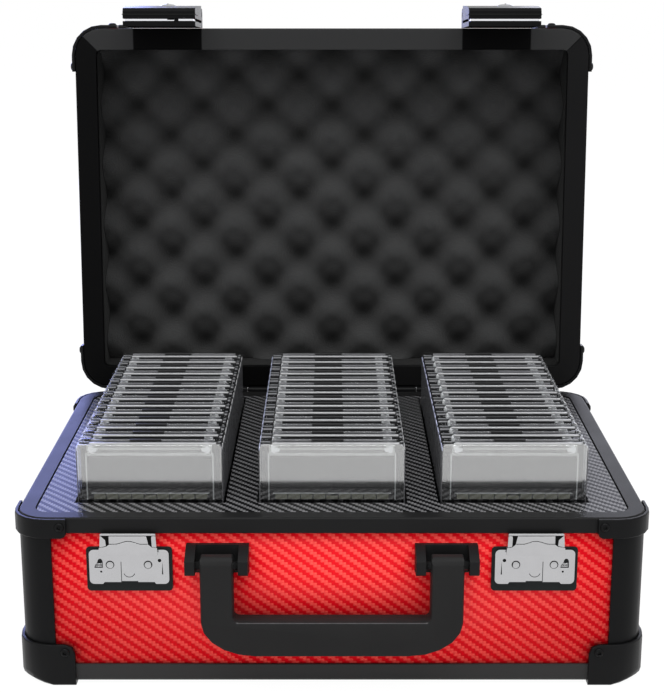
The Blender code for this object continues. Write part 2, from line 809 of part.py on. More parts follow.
def cover_outline():
    """Side view of the cover: flat inside, crowned outside and thicker towards its pin."""
    free_end = PARTING_Z - LATCH_LENGTH
    points = [(out(COVER_OUT), PARTING_Z), (out(COVER_OUT), free_end)]
    points.append((out(COVER_OUT + COVER_END_HEIGHT - COVER_END_ROUND / 2), free_end))
    points.append((out(COVER_OUT + COVER_END_HEIGHT + COVER_END_ROUND / 2), free_end + COVER_END_ROUND))
    rise = COVER_MID_HEIGHT - COVER_END_HEIGHT
    for along, crown in COVER_CROWN_SHARES:
        height = COVER_END_HEIGHT + COVER_END_ROUND / 2 + (rise - COVER_END_ROUND / 2) * crown
        points.append((out(COVER_OUT + height), free_end + LATCH_LENGTH * along))
    points.append((out(COVER_OUT + COVER_TOP_HEIGHT), PARTING_Z))
    return points


def add_latch_cover(side, name, pivot):
    centre = side * LATCH_X
    half_width = LATCH_WIDTH / 2
    origin = latch_pivot_place(side)
    pin = origin[1:]
    ends = (centre - half_width, centre + half_width)
    shape = prism(cover_outline(), "X", *ends)
    cover = add_piece(f"latch_cover_{name}", shape, "black_plastic", pivot, origin=origin)
    root = PARTING_Z - OVERRUN
    tongue = [(out(LATCH_PIN_OUT + LATCH_EAR_RADIUS), root), (out(COVER_OUT + FIT), root)]
    tongue += arc(pin, (LATCH_EAR_RADIUS - FIT,) * 2, 0, 180, ROUND_SIDES // 2)
    half_tongue = COVER_TONGUE_WIDTH / 2
    combine(cover, prism(tongue, "X", centre - half_tongue, centre + half_tongue), "UNION")
    combine(cover, prism(disc(pin, LATCH_PIN_RADIUS), "X", ends[0] + FIT, ends[1] - FIT), "UNION")
    lock_place = (centre, PARTING_Z - LOCK_DROP)
    bore = prism(
        disc(lock_place, LOCK_RADIUS + FIT),
        "Y",
        out(COVER_OUT + COVER_TOP_HEIGHT + OVERRUN),
        out(COVER_OUT - OVERRUN),
    )
    combine(cover, bore, "DIFFERENCE")


def add_hasp_plate(side, name, pivot):
    """Inner plate: a window that fits over the hook, turned-in edges and two rivet posts."""
    centre = side * LATCH_X
    half_width = LATCH_WIDTH / 2
    window = HOOK_WIDTH / 2 + HASP_WINDOW_GAP
    top = PARTING_Z - FIT
    free_end = PARTING_Z - LATCH_LENGTH
    window_top = top - HASP_BAR
    ends = (centre - half_width, centre + half_width)
    sheet = block(ends, (out(HASP_TOP), out(HASP_OUT)), (free_end, top))
    plate = add_piece(f"hasp_plate_{name}", sheet, "black_metal", pivot, origin=latch_pivot_place(side))
    turned = (out(HASP_OUT + HASP_THICKNESS / 2), out(HASP_EDGE_OUT))
    combine(plate, block(ends, turned, (free_end, free_end + HASP_EDGE)), "UNION")
    post_x = (window + half_width) / 2
    for way in (-1, 1):
        edge = sorted((centre + way * half_width, centre + way * (half_width - HASP_EDGE)))
        combine(plate, block(edge, turned, (free_end, top)), "UNION")
        post = disc((centre + way * post_x, PARTING_Z - HASP_POST_DROP), HASP_POST, ROUND_SIDES // 2)
        post_ends = (out(COVER_OUT - FIT), out(HASP_OUT + HASP_THICKNESS / 2))
        combine(plate, prism(post, "Y", *post_ends), "UNION")
    opening = block(
        (centre - window, centre + window),
        (out(HASP_TOP + OVERRUN), out(HASP_EDGE_OUT - OVERRUN)),
        (window_top - HASP_WINDOW_LENGTH, window_top),
    )
    combine(plate, opening, "DIFFERENCE")


def add_lock(side, name, hasp_pivot):
    """Key cylinder with a keyway in its face and a cam behind the cover."""
    centre = (side * LATCH_X, PARTING_Z - LOCK_DROP)
    face = COVER_OUT + COVER_MID_HEIGHT + LOCK_PROUD
    origin = (centre[0], out(COVER_OUT), centre[1])
    pivot = add_pivot(f"lock_pivot_{name}", origin, hasp_pivot)
    loops = []
    for distance, radius in (
        (CAM_OUT, LOCK_RADIUS),
        (face - LOCK_CHAMFER, LOCK_RADIUS),
        (face, LOCK_RADIUS - LOCK_CHAMFER),
    ):
        loops.append([(x, out(distance), z) for x, z in disc(centre, radius)])
    name = f"lock_cylinder_{name}"
    lock = add_piece(name, loft(loops, False), "bright_plate", pivot, origin=origin, smooth=True)
    keyway = block(
        (centre[0] - KEYWAY_WIDTH / 2, centre[0] + KEYWAY_WIDTH / 2),
        (out(face + OVERRUN), out(face - KEYWAY_DEPTH)),
        (centre[1] - KEYWAY_LENGTH / 2, centre[1] + KEYWAY_LENGTH / 2),
    )
    combine(lock, keyway, "DIFFERENCE")
    cam = block(
        (centre[0], centre[0] + CAM_LENGTH),
        (out(CAM_OUT + CAM_THICKNESS), out(CAM_OUT)),
        (centre[1] - CAM_WIDTH / 2, centre[1] + CAM_WIDTH / 2),
    )
    combine(lock, cam, "UNION")


def add_latches(lid):
    for side, name in ((-1, "left"), (1, "right")):
        add_latch_bracket(lid, side, name)
        pivot = add_pivot(f"hasp_pivot_{name}", latch_pivot_place(side), lid.parent)
        add_latch_cover(side, name, pivot)
        add_hasp_plate(side, name, pivot)
        add_lock(side, name, pivot)


# Handle
def handle_outline():
    """Front view: two arms down to a grip, wide round corners outside and small ones inside."""
    outer = HANDLE_ARM_X + HANDLE_ARM / 2
    inner = outer - HANDLE_ARM
    bottom = BASE_HEIGHT - HANDLE_BOTTOM_DROP
    grip_top = bottom + HANDLE_GRIP
    top = HANDLE_PIVOT_Z + HANDLE_THICKNESS / 2
    corner = (outer - HANDLE_ROUND_ACROSS, bottom + HANDLE_ROUND_UP)
    radii = (HANDLE_ROUND_ACROSS, HANDLE_ROUND_UP)
    small = HANDLE_INNER_ROUND
    right = [(inner, top), (outer, top)]
    right += arc(corner, radii, 0, -90, CORNER_STEPS)
    right_inner = arc((inner - small, grip_top + small), (small, small), -90, 0, FILLET_STEPS)
    left = [(-x, z) for x, z in reversed(right)]
    left_inner = [(-x, z) for x, z in reversed(right_inner)]
    return right + left + left_inner + right_inner


def round_top_tool(pin):
    """Side view of what is cut from the arms' tops to leave them round about the pin."""
    radius = HANDLE_THICKNESS / 2
    low, high = pin[0] - radius - OVERRUN, pin[0] + radius + OVERRUN
    top = pin[1] + radius + OVERRUN
    round_top = arc(pin, (radius, radius), 180, 0, ROUND_SIDES // 2)
    return [(low, pin[1])] + round_top + [(high, pin[1]), (high, top), (low, top)]


def add_handle():
    pin = (out(HANDLE_OUT), HANDLE_PIVOT_Z)
    pivot = add_pivot("handle_pivot", (0.0, *pin), "case")
    body = prism(
        handle_outline(),
        "Y",
        out(HANDLE_OUT + HANDLE_THICKNESS / 2),
        out(HANDLE_OUT - HANDLE_THICKNESS / 2),
    )
    handle = add_piece("handle", body, "black_plastic", pivot, origin=(0.0, *pin), smooth=True)
    bevel = handle.modifiers.new("edges", "BEVEL")
    bevel.width = HANDLE_EDGE
    bevel.segments = 2
    bevel.limit_method = "ANGLE"
    bevel.angle_limit = math.radians(60)
    reach = HANDLE_ARM_X + HANDLE_ARM
    combine(handle, prism(round_top_tool(pin), "X", -reach, reach), "DIFFERENCE")
    for side, name in ((-1, "left"), (1, "right")):
        middle = side * HANDLE_ARM_X
        ends = (middle - HANDLE_ARM / 2, middle + HANDLE_ARM / 2)
        bore_ends = (ends[0] - OVERRUN, ends[1] + OVERRUN)
        combine(handle, prism(disc(pin, HANDLE_PIN_RADIUS + FIT), "X", *bore_ends), "DIFFERENCE")
        add_handle_mounting(middle, name, pin)


def add_handle_mounting(middle, name, pin):
    """Plate on the front panel with two ears, and the pin through them."""
    half_width = MOUNTING_WIDTH / 2
    back = out(FIT - PANEL_INSET)
    ear_high = BASE_HEIGHT - MOUNTING_EAR_DROP
    ear_low = ear_high - MOUNTING_EAR_HEIGHT
    plate = block(
        (middle - half_width, middle + half_width),
        (back - MOUNTING_PLATE, back),
        (ear_high - MOUNTING_PLATE_HEIGHT, ear_high),
    )
    mounting = add_piece(f"handle_mounting_{name}", plate, "black_plastic", "case")
    front = out(MOUNTING_PROUD)
    curve = MOUNTING_ROUND
    outline = [(back, ear_high), (back, ear_low)]
    outline += arc((front + curve, ear_low + curve), (curve, curve), 270, 180, FILLET_STEPS)
    outline += [(front, ear_high - MOUNTING_SLOPE_UP), (front + MOUNTING_SLOPE_OUT, ear_high)]
    for way in (-1, 1):
        ends = sorted((middle + way * half_width, middle + way * (half_width - MOUNTING_EAR)))
        combine(mounting, prism(outline, "X", *ends), "UNION")
    bore = prism(
        disc(pin, HANDLE_PIN_RADIUS + FIT),
        "X",
        middle - half_width - OVERRUN,
        middle + half_width + OVERRUN,
    )
    combine(mounting, bore, "DIFFERENCE")
    shape = prism(disc(pin, HANDLE_PIN_RADIUS), "X", middle - half_width, middle + half_width)
    add_piece(f"handle_pin_{name}", shape, "bright_plate", "case", smooth=True)


def build():
    clear_scene()
    add_pivot("case", (0.0, 0.0, 0.0))
    bpy.data.objects["case"].location.y = CASE_SHIFT
    add_pivot("lid_pivot", (0.0, BACK + HINGE_OUT, HINGE_Z), "case", -OPEN_ANGLE)
    base = Half("base", BASE_HEIGHT, BASE_RIM_WIDTH, "case", 0.0, 1)
    lid = Half("lid", LID_HEIGHT, LID_RIM_WIDTH, "lid_pivot", LID_TOP, -1)
    for half in (base, lid):
        add_frame(half)
        add_rim(half)
        add_panels(half)
        add_caps(half)
    add_insert()
    add_rows()
    add_lid_lining(lid)
    add_hinges(lid)
    add_catches()
    add_latches(lid)
    add_handle()


build()
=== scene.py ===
import json
import math

import bmesh
import bpy
from mathutils import Matrix, Vector
from mathutils.bvhtree import BVHTree


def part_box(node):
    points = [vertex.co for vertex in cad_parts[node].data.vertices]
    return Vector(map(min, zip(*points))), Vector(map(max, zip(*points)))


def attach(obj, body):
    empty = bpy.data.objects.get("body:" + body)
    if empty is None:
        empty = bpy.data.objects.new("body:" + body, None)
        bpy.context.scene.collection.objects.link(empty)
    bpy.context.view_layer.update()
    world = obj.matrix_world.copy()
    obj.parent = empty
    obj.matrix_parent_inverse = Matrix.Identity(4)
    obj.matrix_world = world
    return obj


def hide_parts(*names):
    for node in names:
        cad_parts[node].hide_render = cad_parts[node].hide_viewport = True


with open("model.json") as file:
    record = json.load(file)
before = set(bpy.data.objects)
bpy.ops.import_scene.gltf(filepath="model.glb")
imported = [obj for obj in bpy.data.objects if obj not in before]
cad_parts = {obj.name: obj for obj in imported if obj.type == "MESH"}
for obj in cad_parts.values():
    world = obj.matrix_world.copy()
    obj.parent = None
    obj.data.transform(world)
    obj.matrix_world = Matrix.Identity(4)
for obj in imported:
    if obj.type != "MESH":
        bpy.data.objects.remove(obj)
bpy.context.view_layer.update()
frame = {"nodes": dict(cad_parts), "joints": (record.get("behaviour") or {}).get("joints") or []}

# Places read from the frame. "Shut" coordinates are those of the lid turned down on the base.
JOINTS = {joint["name"]: joint for joint in frame["joints"]}
HINGE = Vector(JOINTS["lid_hinge"]["pos_m"])
OPEN_ANGLE = math.radians(JOINTS["lid_hinge"]["range_deg"][0])
LID_OPEN = Matrix.Translation(HINGE) @ Matrix.Rotation(OPEN_ANGLE, 4, "X") @ Matrix.Translation(-HINGE)
LID_SHUT = LID_OPEN.inverted()
LID_UP = LID_OPEN.to_3x3() @ Vector((0, 0, 1))
LID_BACKWARD = LID_OPEN.to_3x3() @ Vector((0, 1, 0))
X_AXIS, Y_AXIS, Z_AXIS = Vector((1, 0, 0)), Vector((0, 1, 0)), Vector((0, 0, 1))
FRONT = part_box("base_rim")[0].y
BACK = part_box("base_rim")[1].y
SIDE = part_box("base_rim")[1].x
RIM_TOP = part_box("base_rim")[1].z
MIDDLE_Y = (FRONT + BACK) / 2
TURN = 2 * math.pi

# Camera
CAMERA_PLACE = (0.0, -0.941676, 0.4002)
CAMERA_PITCH = math.radians(90 - 14.585)
CAMERA_LENS = 78.755
CAMERA_SENSOR = 36

# Colours, linear
BLACK_COAT = (0.0036, 0.0037, 0.0039)
RIM_BLACK = (0.0072, 0.0072, 0.0074)
# The lid rim's bars: painted light on the top bar, painted shade on the left and right bars (the left colour
# also serves the dark joints)
BAR_TOP_PAINTED_LIGHT = (0.0185, 0.0187, 0.0190)
BAR_LEFT_SHADE_AND_JOINT = (0.0020, 0.0020, 0.0021)
BAR_RIGHT_PAINTED_SHADE = (0.0056, 0.0056, 0.0058)
# Painted shadow of the latches on the lid rim's top bar
LATCH_PAINTED_SHADOW = (0.0008, 0.0008, 0.0009)
# Painted sheen on the shell's foot rail
FOOT_RAIL_PAINTED_SHEEN = (0.0225, 0.0225, 0.0225)
BLACK_PLASTIC = (0.0058, 0.0058, 0.0058)
HANDLE_BLACK = (0.0110, 0.0110, 0.0111)
# Painted highlight along the handle grip's upper front edge
GRIP_PAINTED_HIGHLIGHT = (0.085, 0.085, 0.088)
MOUNT_BLACK = (0.0068, 0.0068, 0.0070)
RED_DEEP = (0.54, 0.0028, 0.0080)
RED_LIGHT = (0.67, 0.062, 0.051)
DECK_DARK = (0.001, 0.001, 0.0012)
DECK_LIGHT = (0.118, 0.118, 0.122)
FOAM_DARK = (0.0125, 0.0128, 0.0130)
FOAM_LIGHT = (0.0225, 0.0228, 0.0230)
# Painted shade: the darkest foam, in the egg crate's valleys and on the lid's side foam
FOAM_PAINTED_SHADE = (0.0035, 0.0036, 0.0036)
# Paler tone of the lid's side foam, still a darker copy of the foam as painted shade inside the lid's rim
SIDE_FOAM_PAINTED_SHADE = (0.0045, 0.0046, 0.0047)
LATCH_BLACK = (0.0030, 0.0030, 0.0032)
BACKPLATE = (0.0075, 0.0090, 0.0090)
CHROME = (0.50, 0.50, 0.51)
LABEL = (0.036, 0.036, 0.037)
FROST = (0.66, 0.67, 0.69)
OLIVE = (0.150, 0.150, 0.112)
# Painted reflections on the holders' side edges: lavender light on the left, grey on the right
EDGE_LEFT_PAINTED_REFLECTION = (0.40, 0.42, 0.58)
EDGE_RIGHT_PAINTED_REFLECTION = (0.30, 0.30, 0.31)
POST_GREY = (0.075, 0.075, 0.080)
LATCH_SEAM = (0.006, 0.0065, 0.006)
LEAF_BRIGHT = (0.86, 0.86, 0.90)
CARD = (0.012, 0.012, 0.013)
RAIL_GREY = (0.42, 0.43, 0.44)
LINE_GREY = (0.03, 0.03, 0.032)
LIP_GREY = (0.31, 0.31, 0.32)
LEDGE_GREY = (0.17, 0.17, 0.18)
# Black of the painted shade behind the catch hooks and in the key slots, also used for the left latch's stop
HOLLOW_PAINTED_SHADE = (0.002, 0.002, 0.002)

# Finishes: specular levels, then the least and greatest roughness
BLACK_GLOSS, RIM_GLOSS, BAR_GLOSS, FOOT_GLOSS = 0.09, 0.075, 0.03, 0.08
HANDLE_GLOSS, MOUNT_GLOSS, LATCH_GLOSS, SEAM_GLOSS, HOLLOW_GLOSS = 0.05, 0.08, 0.055, 0.1, 0.05
LABEL_GLOSS = 0.2
SATIN, SEMI_MATT, SOFT_GLOSS, SLEEK = (0.34, 0.46), (0.32, 0.44), (0.30, 0.42), (0.22, 0.34)
RIVET_ROUGH, SEAM_ROUGH, NICKEL_ROUGH, LEAF_ROUGH = (0.16, 0.24), (0.3, 0.4), (0.16, 0.26), (0.1, 0.2)
CLEAR_ROUGH, PANE_ROUGH, LABEL_ROUGH = (0.015, 0.04), (0.09, 0.13), (0.25, 0.35)
CLEAR_TINT, GRAZE_POWER = (0.965, 0.97, 0.97), 12.0
SHELL_MIRROR, PANE_MIRROR, WINDOW_MIRROR = (0.010, 0.85), (0.205, 0.50), (0.27, 0.1)

# Patterns of the finishes: sizes of their patches and depths of their bumps
COAT_PATCH, BAR_PATCH, PEEL, PEEL_DEPTH = 0.035, 0.03, 0.0007, 0.00004
# Where the painted shadows of the latches fall on the lid rim, and how wide the rim's joints are
RIM_JOINT, LATCH_SHADOW_X, LATCH_SHADOW_HALF = 0.0003, 0.1118, 0.0229
RUBBED_FROM, RUBBED_MOST, RUBBED_TINT = (0.55, 0.8), 0.35, 1.6
FOOT_FADE, FOOT_UNEVEN = 0.003, 0.002
PLASTIC_PATCH, PLASTIC_CLOUD, PLASTIC_TINT = 0.018, 0.03, 1.25
GRAIN_CELL, GRAIN, GRAIN_DEPTH = 0.0006, 0.0011, 0.00005
THREAD_PATCH, THREAD_UNEVEN, FILM_CLOUD, TWILL_DEPTH = 0.004, (0.82, 1.12), 0.06, 0.00012
THREAD_STEP, BAND_BLUR, CROWN_LEAST, BAND_SHARE = 0.72, 0.25, 0.62, 0.6
PORE, FUZZ, MOTTLE, PORE_DEPTH = 0.0011, 0.0022, 0.012, 0.00035
WIPE, NICKEL_CLOUD, WIPE_DEPTH = 0.0028, 0.009, 0.00001
CLEAR_CLOUD, LABEL_CLOUD, FROST_GRAIN, FROST_CLOUD, FROST_UNEVEN = 0.02, 0.01, 0.003, 0.005, 0.08
FIBRE, FIBRE_DEPTH = 0.0009, 0.00002
FILM_TINT, NICKEL_TINT, FROST_TINT, CARD_TINT, RIVET_TINT = 0.86, 0.9, 0.8, 0.86, 0.9

# Edges that are broken or rounded
TINY, HAIR, FINE, THIN = 0.00001, 0.0001, 0.0002, 0.0003
COAT_EDGE, SOFT_EDGE, GRIP_EDGE = 0.0004, 0.0008, 0.0012
FLAT_ANGLE = math.radians(0.5)
BEVEL_ANGLE = math.radians(30)

# Names of the sides and corners
SIDES = ((-1, "left"), (1, "right"))
ENDS = ((-1, "front"), (1, "back"))
CORNERS = [(a, b, f"{end}_{side}") for a, side in SIDES for b, end in ENDS]


def shut_box(node):
    """Lowest and highest corner of a lid node in shut coordinates."""
    points = [LID_SHUT @ v.co for v in frame["nodes"][node].data.vertices]
    low = Vector(min(p[axis] for p in points) for axis in range(3))
    return low, Vector(max(p[axis] for p in points) for axis in range(3))


def tinted(colour, share):
    return tuple(c * share for c in colour)


def mirrored(way, span):
    """A span of the right side, or its mirror image on the left."""
    return sorted(way * end for end in span)


# Shader building
class Shader:
    """A Principled material and short calls that add nodes to it."""

    def __init__(self, name, colour=None, **sockets):
        self.material = bpy.data.materials.new(name)
        self.material.use_nodes = True
        self.tree = self.material.node_tree
        self.bsdf = self.tree.nodes["Principled BSDF"]
        if colour is not None:
            self.bsdf.inputs["Base Color"].default_value = (*colour, 1)
        for socket, value in sockets.items():
            self.bsdf.inputs[socket.replace("_", " ")].default_value = value

    def link(self, value, socket):
        if isinstance(value, bpy.types.NodeSocket):
            self.tree.links.new(value, socket)
        elif value is not None:
            socket.default_value = value

    def math(self, operation, *values):
        node = self.tree.nodes.new("ShaderNodeMath")
        node.operation = operation
        for value, socket in zip(values, node.inputs):
            self.link(value, socket)
        return node.outputs[0]

    def coordinates(self):
        return self.tree.nodes.new("ShaderNodeTexCoord").outputs["Object"]

    def along(self, axis):
        """Distance along a direction, in metres."""
        node = self.tree.nodes.new("ShaderNodeVectorMath")
        node.operation = "DOT_PRODUCT"
        self.link(self.coordinates(), node.inputs[0])
        node.inputs[1].default_value = axis
        return node.outputs["Value"]

    def step(self, value, low, high):
        """Smooth step from 0 at low to 1 at high."""
        node = self.tree.nodes.new("ShaderNodeMapRange")
        node.interpolation_type = "SMOOTHSTEP"
        self.link(value, node.inputs["Value"])
        self.link(low, node.inputs["From Min"])
        self.link(high, node.inputs["From Max"])
        return node.outputs["Result"]

    def between(self, value, low, high):
        """Value 0 to 1 mapped straight to low to high."""
        node = self.tree.nodes.new("ShaderNodeMapRange")
        self.link(value, node.inputs["Value"])
        node.inputs["To Min"].default_value = low
        node.inputs["To Max"].default_value = high
        return node.outputs["Result"]

    def noise(self, size, detail=2.0, roughness=0.5):
        node = self.tree.nodes.new("ShaderNodeTexNoise")
        self.link(self.coordinates(), node.inputs["Vector"])
        node.inputs["Scale"].default_value = 1 / size
        node.inputs["Detail"].default_value = detail
        node.inputs["Roughness"].default_value = roughness
        return node.outputs["Fac"]

    def cells(self, size):
        node = self.tree.nodes.new("ShaderNodeTexVoronoi")
        self.link(self.coordinates(), node.inputs["Vector"])
        node.inputs["Scale"].default_value = 1 / size
        return node.outputs["Distance"]

    def mix(self, share, first, second):
        node = self.tree.nodes.new("ShaderNodeMix")
        node.data_type = "RGBA"
        self.link(share, node.inputs[0])
        for value, socket in ((first, node.inputs[6]), (second, node.inputs[7])):
            self.link(value if isinstance(value, bpy.types.NodeSocket) else (*value, 1), socket)
        return node.outputs[2]

    def colour(self, value):
        self.link(value, self.bsdf.inputs["Base Color"])

    def roughness(self, value):
        self.link(value, self.bsdf.inputs["Roughness"])

    def bump(self, height, depth, strength):
        node = self.tree.nodes.new("ShaderNodeBump")
        node.inputs["Distance"].default_value = depth
        node.inputs["Strength"].default_value = strength
        self.link(height, node.inputs["Height"])
        self.link(node.outputs[0], self.bsdf.inputs["Normal"])


def mix_shaders(tree, output, share, first, second):
    """Sends a mix of two shader nodes to the tree's output."""
    both = tree.nodes.new("ShaderNodeMixShader")
    for value, socket in zip((share, first.outputs[0], second.outputs[0]), both.inputs):
        tree.links.new(value, socket)
    tree.links.new(both.outputs[0], tree.nodes[output].inputs[0])


def add_peel(s, patch, roughness=SATIN):
    """Uneven gloss in patches, whose pattern it returns, and fine orange peel."""
    patches = s.noise(patch, 4, 0.6)
    s.roughness(s.between(patches, *roughness))
    s.bump(s.noise(PEEL, 2), PEEL_DEPTH, 0.5)
    return patches


def coated_metal(name="powder_coat", colour=BLACK_COAT, roughness=SATIN, gloss=BLACK_GLOSS):
    """Satin black coat with slightly rubbed patches."""
    s = Shader(name, colour, Specular_IOR_Level=gloss)
    patches = add_peel(s, COAT_PATCH, roughness)
    rubbed = s.math("MULTIPLY", s.step(patches, *RUBBED_FROM), RUBBED_MOST)
    s.colour(s.mix(rubbed, colour, tinted(colour, RUBBED_TINT)))
    return s.material


def rim_bars(half, top):
    """Coat of the lid's rim: mitred bars with painted light on the top bar and painted shade on the side
    bars, dark joints, and painted shadows of the latches on the top bar.
    """
    s = Shader("lid_rim_coat", Specular_IOR_Level=BAR_GLOSS)
    add_peel(s, BAR_PATCH)
    across = s.along(X_AXIS)
    aside = s.math("ABSOLUTE", across)
    from_top = s.math("SUBTRACT", top, s.along(-LID_BACKWARD))
    apart = s.math("SUBTRACT", s.math("SUBTRACT", half, aside), from_top)
    # Painted shade on the side bars, darker on the left than on the right
    sides = s.mix(s.step(across, -RIM_JOINT, RIM_JOINT), BAR_LEFT_SHADE_AND_JOINT, BAR_RIGHT_PAINTED_SHADE)
    # Painted shadow of each latch: a near-black band on the top bar beneath it
    from_latch = s.math("ABSOLUTE", s.math("SUBTRACT", aside, LATCH_SHADOW_X))
    latch_shadow = s.step(from_latch, LATCH_SHADOW_HALF, LATCH_SHADOW_HALF + RIM_JOINT * 3)
    # Painted light on the top bar, except where the latches' painted shadows fall
    bars = s.mix(s.step(apart, -RIM_JOINT, RIM_JOINT), sides, s.mix(latch_shadow, LATCH_PAINTED_SHADOW, BAR_TOP_PAINTED_LIGHT))
    joint = s.step(s.math("ABSOLUTE", apart), RIM_JOINT, RIM_JOINT * 2)
    s.colour(s.mix(joint, BAR_LEFT_SHADE_AND_JOINT, bars))
    return s.material


def foot_rail_coat(foot):
    """The shell's coat, with a painted sheen making it paler along the rail that stands on the floor."""
    s = Shader("foot_rail_coat", Specular_IOR_Level=FOOT_GLOSS)
    patches = add_peel(s, BAR_PATCH)
    height = s.math("ADD", s.along(Z_AXIS), s.between(patches, -FOOT_UNEVEN, FOOT_UNEVEN))
    s.colour(s.mix(s.step(height, foot - FOOT_FADE, foot), FOOT_RAIL_PAINTED_SHEEN, BLACK_COAT))
    return s.material


def moulded_plastic(name="moulded_plastic", colour=BLACK_PLASTIC, roughness=SEMI_MATT, gloss=BLACK_GLOSS,
                    painted_highlight=None):
    """Black moulded plastic with a fine grain, and a paler painted highlight where the optional last argument
    puts its share.
    """
    s = Shader(name, colour, Specular_IOR_Level=gloss)
    s.roughness(s.between(s.noise(PLASTIC_PATCH, 3), *roughness))
    plain = s.mix(s.noise(PLASTIC_CLOUD, 3), colour, tinted(colour, PLASTIC_TINT))
    s.colour(s.mix(painted_highlight(s), plain, GRIP_PAINTED_HIGHLIGHT) if painted_highlight else plain)
    s.bump(s.math("ADD", s.cells(GRAIN_CELL), s.noise(GRAIN, 3)), GRAIN_DEPTH, 0.55)
    return s.material


def twill(name, across, up, cell, colours, roughness, gloss, split=1.0, shine=0.08):
    """Two-over-two twill film: bands of threads that step down to the right, under a clear skin."""
    s = Shader(name, Coat_Weight=gloss, Coat_Roughness=0.16, Specular_IOR_Level=shine)
    dark, light = colours
    steps, threads = [], []
    for axis, size in zip((across, up), cell):
        place = s.math("DIVIDE", s.along(axis), size)
        part = s.math("FRACT", place)
        steps.append(s.math("ADD", s.math("FLOOR", place), s.step(part, THREAD_STEP, 1.0)))
        threads.append(s.math("SINE", s.math("MULTIPLY", part, math.pi)))
    phase = s.math("ADD", s.math("ADD", *steps), 0.5)
    band = s.step(s.math("PINGPONG", phase, 2.0), split - BAND_BLUR, split + BAND_BLUR)
    crown = s.math("MULTIPLY", *threads)
    uneven = s.between(s.noise(THREAD_PATCH, 3, 0.6), *THREAD_UNEVEN)
    share = s.math("MULTIPLY", band, s.between(crown, CROWN_LEAST, 1.0))
    share = s.math("MULTIPLY", share, uneven)
    share.node.use_clamp = True
    shade = s.mix(s.noise(FILM_CLOUD, 2), dark, tinted(dark, FILM_TINT))
    s.colour(s.mix(share, shade, light))
    s.roughness(s.between(band, *roughness))
    rise = s.math("MULTIPLY", band, BAND_SHARE)
    s.bump(s.math("ADD", rise, s.math("MULTIPLY", crown, 1 - BAND_SHARE)), TWILL_DEPTH, 0.5)
    return s.material


def foam(name, dark=FOAM_DARK, light=FOAM_LIGHT, depth=None, fuzz=0.12):
    """Open-cell foam: matte, mottled, pitted with fine pores, and with painted shade deepening along depth's
    direction.
    """
    s = Shader(name, Roughness=0.95, Specular_IOR_Level=0.25, Sheen_Weight=fuzz, Sheen_Roughness=0.6)
    pores = s.cells(PORE)
    mottle = s.math("ADD", s.math("MULTIPLY", s.noise(MOTTLE, 4), 0.6), s.math("MULTIPLY", pores, 0.5))
    colour = s.mix(mottle, dark, light)
    if depth is not None:
        # Painted shade, deepening along the axis from near to far
        axis, near, far = depth
        colour = s.mix(s.step(s.along(axis), near, far), colour, FOAM_PAINTED_SHADE)
    s.colour(colour)
    s.bump(s.math("ADD", pores, s.noise(FUZZ, 3)), PORE_DEPTH, 0.6)
    return s.material


def bright_metal(name, colour=CHROME, roughness=NICKEL_ROUGH):
    """Nickel plate with faint wiping marks."""
    s = Shader(name, colour, Metallic=1.0)
    marks = s.noise(WIPE, 4, 0.7)
    s.roughness(s.between(marks, *roughness))
    s.colour(s.mix(s.noise(NICKEL_CLOUD, 3), colour, tinted(colour, NICKEL_TINT)))
    s.bump(marks, WIPE_DEPTH, 0.4)
    return s.material


def clear_plastic(name, mirror, grazing, roughness=CLEAR_ROUGH):
    """Clear rigid plastic: mirror gloss over what shows through it."""
    s = Shader(name, (1, 1, 1), Metallic=1.0)
    s.roughness(s.between(s.noise(CLEAR_CLOUD, 2), *roughness))
    weight = s.tree.nodes.new("ShaderNodeLayerWeight")
    weight.inputs["Blend"].default_value = 0.5
    facing = s.math("POWER", weight.outputs["Facing"], GRAZE_POWER)
    through = s.tree.nodes.new("ShaderNodeBsdfTransparent")
    through.inputs[0].default_value = (*CLEAR_TINT, 1)
    share = s.between(facing, mirror, mirror + grazing)
    mix_shaders(s.tree, "Material Output", share, through, s.bsdf)
    return s.material


def frosted(name, colour, roughness=0.3):
    """Moulded edge or stud of a clear holder, seen through its shell."""
    s = Shader(name, colour)
    s.roughness(s.between(s.noise(FROST_GRAIN, 3), roughness - FROST_UNEVEN, roughness + FROST_UNEVEN))
    s.colour(s.mix(s.noise(FROST_CLOUD, 2), colour, tinted(colour, FROST_TINT)))
    return s.material


def card_stock(name, colour):
    s = Shader(name, colour, Roughness=0.5)
    fibre = s.noise(FIBRE, 4, 0.7)
    s.colour(s.mix(fibre, colour, tinted(colour, CARD_TINT)))
    s.bump(fibre, FIBRE_DEPTH, 0.4)
    return s.material


def blank_label():
    s = Shader("blank_label", LABEL, Specular_IOR_Level=LABEL_GLOSS)
    s.roughness(s.between(s.noise(LABEL_CLOUD), *LABEL_ROUGH))
    return s.material


# Mesh building
def add_object(name, data):
    obj = bpy.data.objects.new(name, data)
    bpy.context.scene.collection.objects.link(obj)
    return obj


def mesh_of(name, bm):
    mesh = bpy.data.meshes.new(name)
    bm.to_mesh(mesh)
    bm.free()
    return mesh


def finished(name, bm, material, body, smooth_angle=40):
    """Turns a bmesh into a piece of the scene that rides on a body."""
    bmesh.ops.recalc_face_normals(bm, faces=bm.faces)
    mesh = mesh_of(name, bm)
    mesh.materials.append(material)
    mesh.set_sharp_from_angle(angle=math.radians(smooth_angle))
    obj = add_object(name, mesh)
    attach(obj, body)
    return obj


def finished_on_lid(name, bm, material, body):
    """Piece drawn in shut coordinates and turned up with the open lid."""
    bmesh.ops.transform(bm, matrix=LID_OPEN, verts=bm.verts)
    return finished(name, bm, material, body)


def add_skin(bm, rings):
    """Smooth faces between rings of corners of equal count."""
    for one, other in zip(rings, rings[1:]):
        for k in range(len(one)):
            n = (k + 1) % len(one)
            bm.faces.new((one[k], one[n], other[n], other[k])).smooth = True


